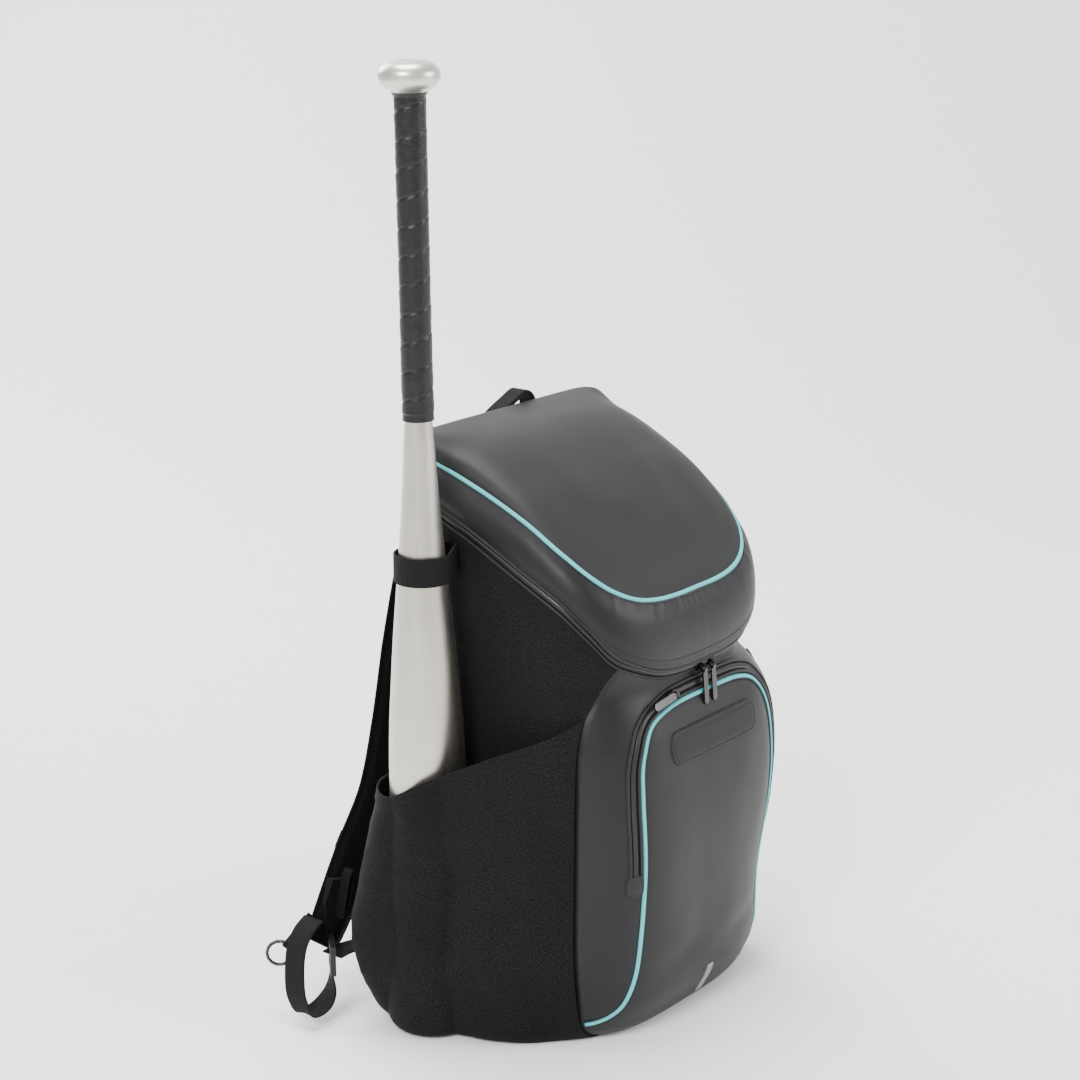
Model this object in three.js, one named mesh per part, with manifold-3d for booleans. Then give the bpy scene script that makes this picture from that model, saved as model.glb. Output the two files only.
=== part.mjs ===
// Baseball bat backpack with its bat, in millimetres, +Z up.
// The origin is on the floor under the middle of the pack. The front faces -Y and the wearer's
// side faces +Y. The bat stands in the side pocket at -X. Angles round the pack are in degrees
// from the front, turning towards the bat.
import * as THREE from 'three';
import Module from 'manifold-3d';
import { mergeVertices } from 'three/addons/utils/BufferGeometryUtils.js';

const wasm = await Module();
wasm.setup();
const { degToRad, radToDeg, lerp, smoothstep, clamp } = THREE.MathUtils;

// Pack sizes
const PACK_WIDTH = 292;
const PACK_HEIGHT = 524;
const FRONT_DEPTH = 139;
const BACK_DEPTH = 101;
const HALF_WIDTH = PACK_WIDTH / 2;

// Cloth, padding and clearance
const CLEARANCE = 0.3;
const CLOTH_WALL = 2.5;
const POCKET_WALL = 2;
const BASE_FLOOR = 8;
const TRIM_THICKNESS = 1.5;
const PIPING_RADIUS = 2;
const PIPING_PROUD = 0.5;
const PIPING_SLOT = 1.2 * (PIPING_RADIUS + CLEARANCE);
const BACK_PAD_THICKNESS = 12;

// Zips and their pulls
const ZIP_WIDTH = 12;
const ZIP_THICKNESS = 1.6;
const SLIDER_WIDTH = 8;
const SLIDER_HEIGHT = 11;
const SLIDER_DEPTH = 3.4;
const BAIL_RADIUS = 0.9;
const BAIL_REACH = 3.2;
const CHEEK_WIDTH = 1.4;
const PULL_LENGTH = 30;
const PULL_WIDTH = 6.5;
const PULL_THICKNESS = 1.6;
const HINGE_ANGLE = 144;
const HINGE_GAP = 1;
const HOOD_SLIDER_SPACING = 13;
const HOOD_SLIDER_MIDDLE = 4;
const FRONT_SLIDER_AT = 0.4375;
const FRONT_SLIDER_LIFT = 0.9;
const FRONT_PULL_LIFT = 0.06;
const HOOD_PULL_LEAN = 0.09;

// Bat
const BAT_LENGTH = 840;
const BARREL_DIAMETER = 66.7;
const HANDLE_DIAMETER = 22;
const GRIP_LENGTH = 269;
const GRIP_THICKNESS = 1.9;
const KNOB_DIAMETER = 51;
const KNOB_HEIGHT = 27;
const END_CAP_HEIGHT = 12;
const END_PLUG_HEIGHT = 8;
const BAT_WALL = 3;
const BAT_TILT_X = 0.55;
const BAT_TILT_Y = 0.46;
const BAT_SIDE_GAP = 2.6;
const BAT_DENT = 6;
const BAT_BACK = 44;
const BARREL_RADIUS = BARREL_DIAMETER / 2;
const HANDLE_RADIUS = HANDLE_DIAMETER / 2;
const BAT_OUT = HALF_WIDTH - BAT_DENT + BAT_SIDE_GAP + BARREL_RADIUS;
const BAT_FOOT = BASE_FLOOR + CLEARANCE + BARREL_RADIUS * Math.sin(degToRad(BAT_TILT_X + BAT_TILT_Y));

// Side pockets
const POCKET_SLACK = 1;
const POCKET_ROOM = 5.2;
const POCKET_SEAM_LIFT = 0.8;
const EMPTY_POCKET_ROLL = 13;
const EMPTY_POCKET_OUT = HALF_WIDTH + 4;

// Straps and what hangs on them
const STRAP_WIDTH = 64;
const STRAP_THICKNESS = 12;
const STRAP_STANDOFF = 46;
const WEBBING_WIDTH = 25;
const WEBBING_THICKNESS = 1.8;
const NARROW_WEBBING = 10;
const TAIL_WIDTH = 23;
const TAIL_DROP = 48;
const TAIL_SPREAD = 50;
const TAIL_LEAN = 13;
const BUCKLE_WIDTH = 33;
const BUCKLE_HEIGHT = 28;
const BUCKLE_THICKNESS = 5;
const BUCKLE_BAR = 4;
const BUCKLE_TURN = 46;
const BUCKLE_OUT = 4.5;
const BUCKLE_FORWARD = 18;
const BUCKLE_DROP = 3;
const CHEST_SLIDER_WIDTH = 28;
const CHEST_SLIDER_HEIGHT = 19;
const CHEST_SLIDER_THICKNESS = 8;
const PATCH_WIDTH = 32;
const PATCH_HEIGHT = 54;
const LOOP_LENGTH = 42;
const LOOP_GAP = 6;
const LOOP_LEAN = 12;
const FOOT_WEBBING_HEIGHT = 42;
const FOOT_WEBBING_ANGLE = 144;
const RING_RADIUS = 11.5;
const RING_WIRE = 1.7;
const RING_TAB_WIDTH = 6;
const RING_OUT = 25;
const RING_BACK = 41;
const RING_LIFT = -1;
const RING_TAB_REACH = 26;
const RING_TAB_SLACK = 1.1;
const RING_TURN = 50;
const BAT_STRAP_HEIGHT = 425;
const BAT_STRAP_SLACK = 0.75;
const HANDLE_SPAN = 76;
const HANDLE_RISE = 66;
const HANDLE_WIDTH = 18;
const HANDLE_THICKNESS = 4;

// Plate and tab on the front
const PLATE_WIDTH = 130;
const PLATE_HEIGHT = 30;
const PLATE_CORNER = 11;
const PLATE_TOP_GAP = 19;
const TAB_WIDTH = 9;
const TAB_HEIGHT = 30;
const TAB_FOOT = 13;

// Fineness of the cloth forms
const AROUND = 40;
const AROUND_INSIDE = 24;
const LEVELS = [0, 0.015, 0.05, 0.13, 0.25, 0.38, 0.5, 0.62, 0.74, 0.87, 1];
const LEVELS_INSIDE = [0, 0.06, 0.2, 0.42, 0.64, 0.84, 1];
const BAT_SIDES = 14;
const PIPING_SIDES = 6;

// How square the plan is at its front and back corners
const BODY_CORNERS = { front: 4, back: 6 };
const HOOD_CORNERS = { front: 4, back: 11 };

// Plan of the pack at each height, in shares of the pack's height, half width and depths
const BODY_SECTIONS = [
  { height: 0, width: 0.86, front: 0.755, back: 0.9 },
  { height: 0.01, width: 0.91, front: 0.815, back: 0.94 },
  { height: 0.027, width: 0.95, front: 0.868, back: 0.97 },
  { height: 0.08, width: 0.985, front: 0.95, back: 0.99 },
  { height: 0.2, width: 1, front: 0.985, back: 1 },
  { height: 0.38, width: 1, front: 1, back: 1 },
  { height: 0.515, width: 1, front: 0.942, back: 1 },
  { height: 0.569, width: 0.99, front: 0.878, back: 1 },
  { height: 0.615, width: 0.98, front: 0.815, back: 1 },
  { height: 0.66, width: 0.972, front: 0.835, back: 1 },
  { height: 0.72, width: 0.966, front: 0.868, back: 1 },
  { height: 1, width: 0.96, front: 0.87, back: 0.99 },
];

// Height of the lid's zip and of its piping, by angle from the front, in shares of the height
const LID_LINES = [
  { angle: 0, zip: 0.622, piping: 0.752 },
  { angle: 15, zip: 0.624, piping: 0.752 },
  { angle: 28, zip: 0.632, piping: 0.756 },
  { angle: 38, zip: 0.651, piping: 0.766 },
  { angle: 47, zip: 0.677, piping: 0.786 },
  { angle: 55, zip: 0.722, piping: 0.812 },
  { angle: 64, zip: 0.763, piping: 0.843 },
  { angle: 80, zip: 0.806, piping: 0.887 },
  { angle: 112, zip: 0.878, piping: 0.943 },
  { angle: 131, zip: 0.925, piping: 0.97 },
  { angle: 150, zip: 0.94, piping: 0.981 },
  { angle: 180, zip: 0.943, piping: 0.985 },
];

// Height of the lid's roof from front to back, in shares of the front depth and of the height
const ROOF_LINE = [
  { back: -0.8, height: 0.762 },
  { back: -0.69, height: 0.804 },
  { back: -0.57, height: 0.838 },
  { back: -0.37, height: 0.88 },
  { back: -0.17, height: 0.918 },
  { back: 0, height: 0.944 },
  { back: 0.16, height: 0.966 },
  { back: 0.32, height: 0.983 },
  { back: 0.49, height: 0.993 },
  { back: 0.71, height: 1 },
];

// Rings of the lid's cloth, in shares of the half width and depths. The rise goes from the zip to
// the piping in the side band, and from the piping to the roof line in the panel.
const HOOD_BAND = [
  { rise: 0, width: 0.966, front: 0.885, back: 1.03 },
  { rise: 0.35, width: 0.966, front: 0.89, back: 1.035 },
  { rise: 0.7, width: 0.94, front: 0.866, back: 1.03 },
  { rise: 1, width: 0.885, front: 0.81, back: 1.01 },
];
const HOOD_PANEL = [
  { rise: 0, width: 0.885, front: 0.81, back: 1.01 },
  { rise: 0.34, width: 0.866, front: 0.785, back: 0.995 },
  { rise: 0.62, width: 0.81, front: 0.735, back: 0.97 },
  { rise: 0.86, width: 0.68, front: 0.61, back: 0.86 },
  { rise: 1, width: 0.4, front: 0.36, back: 0.55 },
];
const SHARP_BACK = { from: 0.55, to: 0.92 };

// Line where the woven sides meet the coated front, in shares of the height and front depth
const SIDE_SEAM = [
  { height: -0.02, front: 0.626 },
  { height: 0.553, front: 0.626 },
  { height: 0.6, front: 0.655 },
  { height: 0.64, front: 0.72 },
  { height: 0.68, front: 0.83 },
  { height: 0.73, front: 1.1 },
];

// Half of the front pocket's seam, from the foot up to the middle of its top edge, in shares of
// the half width and height
const POCKET_SEAM = [
  { out: 0.96, height: 0.03 },
  { out: 0.865, height: 0.042 },
  { out: 0.775, height: 0.07 },
  { out: 0.715, height: 0.122 },
  { out: 0.692, height: 0.185 },
  { out: 0.68, height: 0.3 },
  { out: 0.685, height: 0.44 },
  { out: 0.655, height: 0.505 },
  { out: 0.56, height: 0.55 },
  { out: 0.38, height: 0.57 },
  { out: 0, height: 0.575 },
];
const FRONT_ZIP_START = 0.3;
const FRONT_SHELL_TOP = 0.6;

// Dents and swells of the pack's cloth. Place and reach are an angle and a share of the height,
// the depth is a share of the front depth, and the side is the bat's (1), the other (-1) or
// both (0).
const BODY_FOLDS = [
  { side: 0, angle: 56, height: 0.6, turn: 13, reach: 0.07, depth: -0.035 },
  { side: 0, angle: 63, height: 0.08, turn: 7, reach: 0.06, depth: -0.022 },
  { side: 0, angle: 54, height: 0.18, turn: 7, reach: 0.1, depth: 0.02 },
  { side: 0, angle: 20, height: 0.13, turn: 16, reach: 0.035, depth: -0.018 },
  { side: 0, angle: 0, height: 0.3, turn: 26, reach: 0.16, depth: 0.014 },
  { side: -1, angle: 44, height: 0.17, turn: 26, reach: 0.24, depth: -0.095 },
  { side: -1, angle: 49, height: 0.65, turn: 24, reach: 0.12, depth: -0.17 },
];

// The lid is pressed in at its other front corner: angles, a share of the front depth, and how much
// narrower that side is
const HOOD_DENT = { angle: 60, turn: 42, depth: 0.05, narrow: 0.035 };

// Corner of a side pocket at each height: where its centre lies from the thing that it holds and
// its own radius, in shares of that thing's radius, how full the pocket's front is, and the room
// that it leaves round the thing
const POCKET_SECTIONS = [
  { height: 0, out: -0.22, back: 0.82, radius: 0.56, fullness: 0.78, room: 0.7 },
  { height: 0.008, out: -0.05, back: 0.86, radius: 0.63, fullness: 0.72, room: 0.92 },
  { height: 0.03, out: 0.14, back: 0.94, radius: 0.71, fullness: 0.56, room: 1 },
  { height: 0.07, out: 0.34, back: 1.04, radius: 0.76, fullness: 0.4, room: 1 },
  { height: 0.125, out: 0.55, back: 1.14, radius: 0.8, fullness: 0.33, room: 1 },
  { height: 0.18, out: 0.61, back: 1.18, radius: 0.8, fullness: 0.28, room: 1 },
  { height: 0.24, out: 0.48, back: 1.06, radius: 0.82, fullness: 0.25, room: 1 },
  { height: 0.32, out: 0.3, back: 0.8, radius: 0.88, fullness: 0.24, room: 1 },
  { height: 0.42, out: 0.08, back: 0.36, radius: 1, fullness: 0.26, room: 1 },
  { height: 0.51, out: 0.05, back: 0.28, radius: 1, fullness: 0.3, room: 1 },
  { height: 0.6, out: 0.04, back: 0.24, radius: 1, fullness: 0.32, room: 1 },
];
const POCKET_REAR_ANGLE = 138;
const ROWS_ONLY_OUTSIDE = [0, 1, 5, 7, 9];

// Top edge of a side pocket, in shares of the front depth and the height
const POCKET_MOUTH = [
  { back: -0.66, height: 0.582 },
  { back: -0.5, height: 0.55 },
  { back: -0.22, height: 0.516 },
  { back: 0.02, height: 0.484 },
  { back: 0.2, height: 0.46 },
  { back: 0.34, height: 0.437 },
  { back: 0.47, height: 0.424 },
  { back: 0.72, height: 0.432 },
  { back: 0.95, height: 0.44 },
];

// Folds across a side pocket's front, in shares of its run, of the height and of the roll
const POCKET_FOLDS = [
  { along: 0.22, height: 0.1, reach: 0.09, rise: 0.15, slope: 0.5, depth: -0.15 },
  { along: 0.42, height: 0.16, reach: 0.09, rise: 0.15, slope: 0.5, depth: 0.12 },
  { along: 0.64, height: 0.22, reach: 0.08, rise: 0.3, slope: 0.05, depth: -0.1 },
];

// Profile of the bat from its end cap up, in shares of its length and of both radii
const BAT_PROFILE = [
  { along: 0, barrel: 0.97, handle: 0 },
  { along: 0.016, barrel: 1, handle: 0 },
  { along: 0.27, barrel: 1, handle: 0 },
  { along: 0.329, barrel: 0.957, handle: 0 },
  { along: 0.364, barrel: 0.9, handle: 0 },
  { along: 0.4, barrel: 0.837, handle: 0 },
  { along: 0.436, barrel: 0.763, handle: 0 },
  { along: 0.471, barrel: 0.682, handle: 0 },
  { along: 0.506, barrel: 0.606, handle: 0 },
  { along: 0.545, barrel: 0.525, handle: 0 },
  { along: 0.585, barrel: 0.45, handle: 0 },
  { along: 0.625, barrel: 0.2, handle: 0.58 },
  { along: 0.66, barrel: 0, handle: 1.02 },
  { along: 1, barrel: 0, handle: 1 },
];

// Half section of the knob from its neck to its crown, in shares of its height, and of the knob's
// and the handle's radius
const KNOB_PROFILE = [
  { along: 0, knob: 0, handle: 1.15 },
  { along: 0.09, knob: 0.25, handle: 0.85 },
  { along: 0.22, knob: 0.68, handle: 0.3 },
  { along: 0.37, knob: 0.93, handle: 0.05 },
  { along: 0.52, knob: 1, handle: 0 },
  { along: 0.7, knob: 0.98, handle: 0 },
  { along: 0.84, knob: 0.88, handle: 0 },
  { along: 0.94, knob: 0.72, handle: 0 },
  { along: 1, knob: 0.48, handle: 0 },
];

// Middle line of a shoulder strap from the yoke to its padded end, in shares of the half width,
// of the strap's standoff and of the height, with its width and thickness
const STRAP_SECTIONS = [
  { out: 0.36, back: -0.04, height: 0.885, width: 0.94, thickness: 0.5 },
  { out: 0.37, back: 0.3, height: 0.882, width: 0.96, thickness: 0.8 },
  { out: 0.375, back: 0.62, height: 0.845, width: 1, thickness: 1 },
  { out: 0.44, back: 0.8, height: 0.74, width: 1, thickness: 1 },
  { out: 0.54, back: 0.92, height: 0.6, width: 1, thickness: 1 },
  { out: 0.65, back: 0.96, height: 0.45, width: 1, thickness: 1 },
  { out: 0.83, back: 0.88, height: 0.335, width: 0.96, thickness: 0.96 },
  { out: 1.1, back: 0.8, height: 0.245, width: 0.92, thickness: 0.9 },
  { out: 1.3, back: 0.72, height: 0.175, width: 0.88, thickness: 0.85 },
  { out: 1.43, back: 0.68, height: 0.13, width: 0.78, thickness: 0.8 },
  { out: 1.47, back: 0.67, height: 0.115, width: 0.54, thickness: 0.6 },
];
const STRAP_STEPS = 16;
const STRAP_CORNERS = 8;
const CHEST_SLIDER_AT = 0.66;
const PATCH_AT = 0.88;
const RING_TAB_AT = 0.83;

// Webbing tail that hangs from the strap's edge to the buckle, in shares of its spread, of its
// drop and of its lean towards the pack
const TAIL_PATH = [
  { out: 0.1, drop: -0.67, lean: -1.3 },
  { out: 0.36, drop: -0.52, lean: -1.3 },
  { out: 0.55, drop: -0.26, lean: -1.3 },
  { out: 0.69, drop: 0.26, lean: -1.08 },
  { out: 0.76, drop: 0.66, lean: -0.62 },
  { out: 0.69, drop: 0.92, lean: -0.08 },
  { out: 0.4, drop: 0.88, lean: 0.23 },
  { out: 0.19, drop: 0.69, lean: 0.3 },
  { out: 0.07, drop: 0.42, lean: 0.15 },
  { out: 0.05, drop: 0.19, lean: 0 },
];

// Outline of the sewn patch on the strap, from its point up, in shares of its width and height
const PATCH_OUTLINE = [
  { across: 0.2, up: 0 },
  { across: 0.5, up: 0 },
  { across: 0.9, up: 0.25 },
  { across: 1, up: 0.92 },
  { across: 0.5, up: 1 },
  { across: 0.16, up: 0.65 },
];

// Arch of the top handle, in shares of its span and rise
const HANDLE_ARCH = [
  { across: -0.5, rise: 0 },
  { across: -0.5, rise: 0.3 },
  { across: -0.3, rise: 0.54 },
  { across: 0, rise: 0.74 },
  { across: 0.28, rise: 0.88 },
  { across: 0.5, rise: 0.96 },
  { across: 0.64, rise: 0.82 },
  { across: 0.6, rise: 0.42 },
  { across: 0.5, rise: 0 },
];

// Padding of the back at each height, in shares of the height and of the padding
const BACK_PAD_SECTIONS = [
  { height: 0.03, padding: 0.4 },
  { height: 0.05, padding: 0.95 },
  { height: 0.2, padding: 1 },
  { height: 0.3, padding: 0.85 },
  { height: 0.4, padding: 1 },
  { height: 0.56, padding: 1 },
  { height: 0.64, padding: 0.85 },
  { height: 0.72, padding: 1 },
  { height: 0.87, padding: 1 },
  { height: 0.9, padding: 0.6 },
];
const BACK_PAD_ANGLES = [131, 134, 142, 156, 173, 180, 187, 204, 218, 226, 229];

const materials = {
  woven: new THREE.MeshStandardMaterial({ color: 0x232426, roughness: 0.92, metalness: 0 }),
  coated: new THREE.MeshStandardMaterial({ color: 0x39393b, roughness: 0.55, metalness: 0 }),
  piping: new THREE.MeshStandardMaterial({ color: 0x6fc9cb, roughness: 0.45, metalness: 0 }),
  tape: new THREE.MeshStandardMaterial({ color: 0x111113, roughness: 0.75, metalness: 0 }),
  metal: new THREE.MeshStandardMaterial({ color: 0x3b3a3c, roughness: 0.25, metalness: 1 }),
  webbing: new THREE.MeshStandardMaterial({ color: 0x19191b, roughness: 0.85, metalness: 0 }),
  plastic: new THREE.MeshStandardMaterial({ color: 0x151517, roughness: 0.45, metalness: 0 }),
  rubber: new THREE.MeshStandardMaterial({ color: 0x2c2c2e, roughness: 0.6, metalness: 0 }),
  reflective: new THREE.MeshStandardMaterial({ color: 0x9c9c9a, roughness: 0.4, metalness: 0 }),
  aluminium: new THREE.MeshStandardMaterial({ color: 0xbdb8aa, roughness: 0.32, metalness: 1 }),
  leather: new THREE.MeshStandardMaterial({ color: 0x1a1a1b, roughness: 0.4, metalness: 0 }),
};

const X_AXIS = new THREE.Vector3(1, 0, 0);
const Y_AXIS = new THREE.Vector3(0, 1, 0);
const Z_AXIS = new THREE.Vector3(0, 0, 1);

// Value of one column where the key column reaches a given value, along a smooth curve
function lookUp(rows, key, at, column) {
  const last = rows.length - 1;
  if (at <= rows[0][key]) {
    return rows[0][column];
  }
  if (at >= rows[last][key]) {
    return rows[last][column];
  }
  const slope = (i) => {
    const before = rows[Math.max(i - 1, 0)];
    const after = rows[Math.min(i + 1, last)];
    return (after[column] - before[column]) / (after[key] - before[key]);
  };
  const i = rows.findIndex((row) => row[key] > at) - 1;
  const span = rows[i + 1][key] - rows[i][key];
  const t = (at - rows[i][key]) / span;
  const rise = rows[i + 1][column] - rows[i][column];
  const eased = (3 - 2 * t) * t * t * rise;
  const leaving = t * (1 - t) * (1 - t) * slope(i) * span;
  const arriving = t * t * (1 - t) * slope(i + 1) * span;
  return rows[i][column] + eased + leaving - arriving;
}

// Row of a table part of the way along it, with every column read smoothly
function rowAt(rows, share) {
  const numbered = rows.map((row, index) => ({ ...row, index }));
  const columns = Object.keys(rows[0]);
  const at = share * (rows.length - 1);
  return Object.fromEntries(columns.map((column) => [column, lookUp(numbered, 'index', at, column)]));
}

function bump(distance, reach) {
  return Math.exp(-2 * (distance / reach) ** 2);
}

// Angle in the range 0 to 360
function wholeTurn(degrees) {
  return ((degrees % 360) + 360) % 360;
}

// Angle from the front, 0 to 180, on either side
function fromFront(degrees) {
  const turn = wholeTurn(degrees);
  return turn > 180 ? 360 - turn : turn;
}

// A closed mesh as a solid, with its faces turned outwards
function asSolid(geometry) {
  const bare = new THREE.BufferGeometry();
  bare.setAttribute('position', geometry.attributes.position);
  bare.setIndex(geometry.index);
  const merged = mergeVertices(bare, 1e-4);
  const vertProperties = Float32Array.from(merged.attributes.position.array);
  const triVerts = Uint32Array.from(merged.index.array);
  const corner = (index) => new THREE.Vector3().fromArray(vertProperties, triVerts[index] * 3);
  let volume = 0;
  for (let i = 0; i < triVerts.length; i += 3) {
    volume += corner(i).dot(corner(i + 1).cross(corner(i + 2)));
  }
  if (volume < 0) {
    for (let i = 0; i < triVerts.length; i += 3) {
      [triVerts[i + 1], triVerts[i + 2]] = [triVerts[i + 2], triVerts[i + 1]];
    }
  }
  return new wasm.Manifold(new wasm.Mesh({ numProp: 3, vertProperties, triVerts }));
}

// The biggest body of a solid, without the slivers that a cut leaves
function mainBody(solid) {
  return solid.decompose().reduce((best, body) => (body.volume() > best.volume() ? body : best));
}

// A solid through closed loops of points. Its two ends are capped, or joined into a ring. Patches
// of a thin strip are split along their shorter diagonal, which keeps its two faces parallel.
function loft(loops, isRing = false, isThin = false) {
  const count = loops[0].length;
  const vertices = loops.flat().flatMap((point) => point.toArray());
  const faces = [];
  const spans = isRing ? loops.length : loops.length - 1;
  for (let row = 0; row < spans; row += 1) {
    const next = (row + 1) % loops.length;
    for (let i = 0; i < count; i += 1) {
      const j = (i + 1) % count;
      const [a, b] = [row * count + i, row * count + j];
      const [c, d] = [next * count + i, next * count + j];
      const other = loops[row][j].distanceTo(loops[next][i]);
      if (isThin && other < loops[row][i].distanceTo(loops[next][j])) {
        faces.push(a, b, c, b, d, c);
      } else {
        faces.push(a, b, d, a, d, c);
      }
    }
  }
  if (!isRing) {
    for (const row of [0, loops.length - 1]) {
      const middle = new THREE.Vector3();
      loops[row].forEach((point) => middle.addScaledVector(point, 1 / count));
      const hub = vertices.length / 3;
      vertices.push(...middle.toArray());
      for (let i = 0; i < count; i += 1) {
        const [a, b] = [row * count + i, row * count + ((i + 1) % count)];
        faces.push(hub, row === 0 ? b : a, row === 0 ? a : b);
      }
    }
  }
  const geometry = new THREE.BufferGeometry();
  geometry.setAttribute('position', new THREE.Float32BufferAttribute(vertices, 3));
  geometry.setIndex(faces);
  return asSolid(geometry);
}

// A flat outline pushed straight along one axis. The outline lies in the other two axes.
function prism(outline, axis, from, to) {
  const shape = new THREE.Shape(outline.map(([u, v]) => new THREE.Vector2(u, v)));
  const geometry = new THREE.ExtrudeGeometry(shape, { depth: to - from, bevelEnabled: false });
  const frames = {
    x: [Y_AXIS, Z_AXIS, X_AXIS],
    y: [X_AXIS, Z_AXIS, Y_AXIS],
    z: [X_AXIS, Y_AXIS, Z_AXIS],
  };
  const matrix = new THREE.Matrix4().makeBasis(...frames[axis]);
  matrix.setPosition(frames[axis][2].clone().multiplyScalar(from));
  return asSolid(geometry.applyMatrix4(matrix));
}

function rectangle(left, right, low, high) {
  return [[left, low], [right, low], [right, high], [left, high]];
}

function roundedRectangle(width, height, corner, steps = 3) {
  const points = [];
  for (const [sideX, sideY, start] of [[1, -1, -90], [1, 1, 0], [-1, 1, 90], [-1, -1, 180]]) {
    for (let step = 0; step <= steps; step += 1) {
      const turn = degToRad(start + (90 * step) / steps);
      points.push([
        sideX * (width / 2 - corner) + corner * Math.cos(turn),
        sideY * (height / 2 - corner) + corner * Math.sin(turn),
      ]);
    }
  }
  return points;
}

function block(width, depth, height, x = 0, y = 0, z = 0) {
  return asSolid(new THREE.BoxGeometry(width, depth, height).translate(x, y, z));
}

// A round bar along X
function barAlongX(radius, length, sides = 10) {
  return asSolid(new THREE.CylinderGeometry(radius, radius, length, sides).rotateZ(Math.PI / 2));
}

// A solid turned about Z from its half section of [radius, height] points
function turned(profile, sides = BAT_SIDES) {
  const points = profile.map(([radius, height]) => new THREE.Vector2(radius, height));
  const geometry = new THREE.LatheGeometry(points, sides);
  return asSolid(geometry.rotateX(Math.PI / 2));
}

// A round tube through points, open ended or closed into a ring
function tube(points, radius, sides, isRing = false) {
  const last = points.length - 1;
  const before = (i) => (isRing ? points[(i + last) % points.length] : points[Math.max(i - 1, 0)]);
  const after = (i) => (isRing ? points[(i + 1) % points.length] : points[Math.min(i + 1, last)]);
  let side = new THREE.Vector3(0.3, -1, 0.2);
  const loops = points.map((middle, i) => {
    const tangent = after(i).clone().sub(before(i)).normalize();
    side = side.clone().addScaledVector(tangent, -side.dot(tangent)).normalize();
    const up = tangent.clone().cross(side);
    return Array.from({ length: sides }, (unused, k) => {
      const turn = (2 * Math.PI * k) / sides;
      const point = middle.clone().addScaledVector(side, radius * Math.cos(turn));
      return point.addScaledVector(up, radius * Math.sin(turn));
    });
  });
  return loft(loops, isRing);
}

// A flat band through points. Its width lies square to its path and to a hinted normal.
function band(points, sizeAt, hintAt, corners = 4) {
  const last = points.length - 1;
  return loft(points.map((middle, i) => {
    const tangent = points[Math.min(i + 1, last)].clone().sub(points[Math.max(i - 1, 0)]).normalize();
    const side = tangent.clone().cross(hintAt(tangent, i / last)).normalize();
    const up = side.clone().cross(tangent).normalize();
    const { width, thickness } = sizeAt(i / last);
    return Array.from({ length: corners }, (unused, k) => {
      const turn = (2 * Math.PI * (k + 0.5)) / corners;
      const square = (value) => Math.sign(value) * (corners > 4 ? Math.sqrt(Math.abs(value)) : 1);
      const point = middle.clone().addScaledVector(side, (square(Math.cos(turn)) * width) / 2);
      return point.addScaledVector(up, (square(Math.sin(turn)) * thickness) / 2);
    });
  }), false, corners === 4);
}

function smoothPath(points, steps) {
  return new THREE.CatmullRomCurve3(points, false, 'centripetal').getPoints(steps);
}

function mirrored(solid) {
  return solid.mirror([1, 0, 0]);
}

// Point of a superellipse plan in a given direction, moved outwards along its normal
function planPoint(halfWidth, front, back, corners, degrees, grow) {
  const turn = degToRad(degrees);
  const [across, along] = [-Math.sin(turn), -Math.cos(turn)];
  const depth = along < 0 ? front : back;
  const power = lerp(corners.front, corners.back, smoothstep(along, -0.2, 0.2));
  const sum = (Math.abs(across) / halfWidth) ** power + (Math.abs(along) / depth) ** power;
  const [x, y] = [across * sum ** (-1 / power), along * sum ** (-1 / power)];
  const normal = new THREE.Vector2(
    (Math.sign(x) * (Math.abs(x) / halfWidth) ** (power - 1)) / halfWidth,
    (Math.sign(y) * (Math.abs(y) / depth) ** (power - 1)) / depth,
  ).normalize();
  return new THREE.Vector2(x, y).addScaledVector(normal, grow);
}

function foldDepth(degrees, height) {
  const share = height / PACK_HEIGHT;
  const ownSide = wholeTurn(degrees) <= 180 ? 1 : -1;
  let depth = 0;
  for (const fold of BODY_FOLDS) {
    if (fold.side !== -ownSide) {
      const turn = bump(fromFront(degrees) - fold.angle, fold.turn);
      depth += fold.depth * FRONT_DEPTH * turn * bump(share - fold.height, fold.reach);
    }
  }
  const batAngle = 90 + radToDeg(Math.atan2(BAT_BACK, HALF_WIDTH));
  const besideBat = bump(wholeTurn(degrees) - batAngle, 24);
  const belowLid = 1 - smoothstep(share, 0.5, 0.8);
  return depth - 1.25 * BAT_DENT * besideBat * belowLid;
}

// Point of the pack's cloth, moved outwards by a given amount
function bodyPoint(degrees, height, grow = 0) {
  const at = (column) => lookUp(BODY_SECTIONS, 'height', height / PACK_HEIGHT, column);
  const plan = planPoint(
    at('width') * HALF_WIDTH,
    at('front') * FRONT_DEPTH,
    at('back') * BACK_DEPTH,
    BODY_CORNERS,
    degrees,
    grow + foldDepth(degrees, height),
  );
  return new THREE.Vector3(plan.x, plan.y, height);
}

function lidLine(degrees, column) {
  return PACK_HEIGHT * lookUp(LID_LINES, 'angle', fromFront(degrees), column);
}

function rimHeight(degrees) {
  return lidLine(degrees, 'zip') - ZIP_WIDTH / 2;
}

function anglesRound(count = AROUND) {
  return Array.from({ length: count }, (unused, i) => (360 * i) / count);
}

// The pack's form from the floor to its rim, grown outwards by a given amount
function outerForm(grow) {
  const loops = LEVELS.map((share) => anglesRound().map((angle) => (
    bodyPoint(angle, share * rimHeight(angle), grow)
  )));
  const flatRim = anglesRound().map((angle) => (
    bodyPoint(angle, rimHeight(angle), grow - 2 * CLOTH_WALL)
  ));
  return loft([...loops, flatRim]);
}

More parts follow.
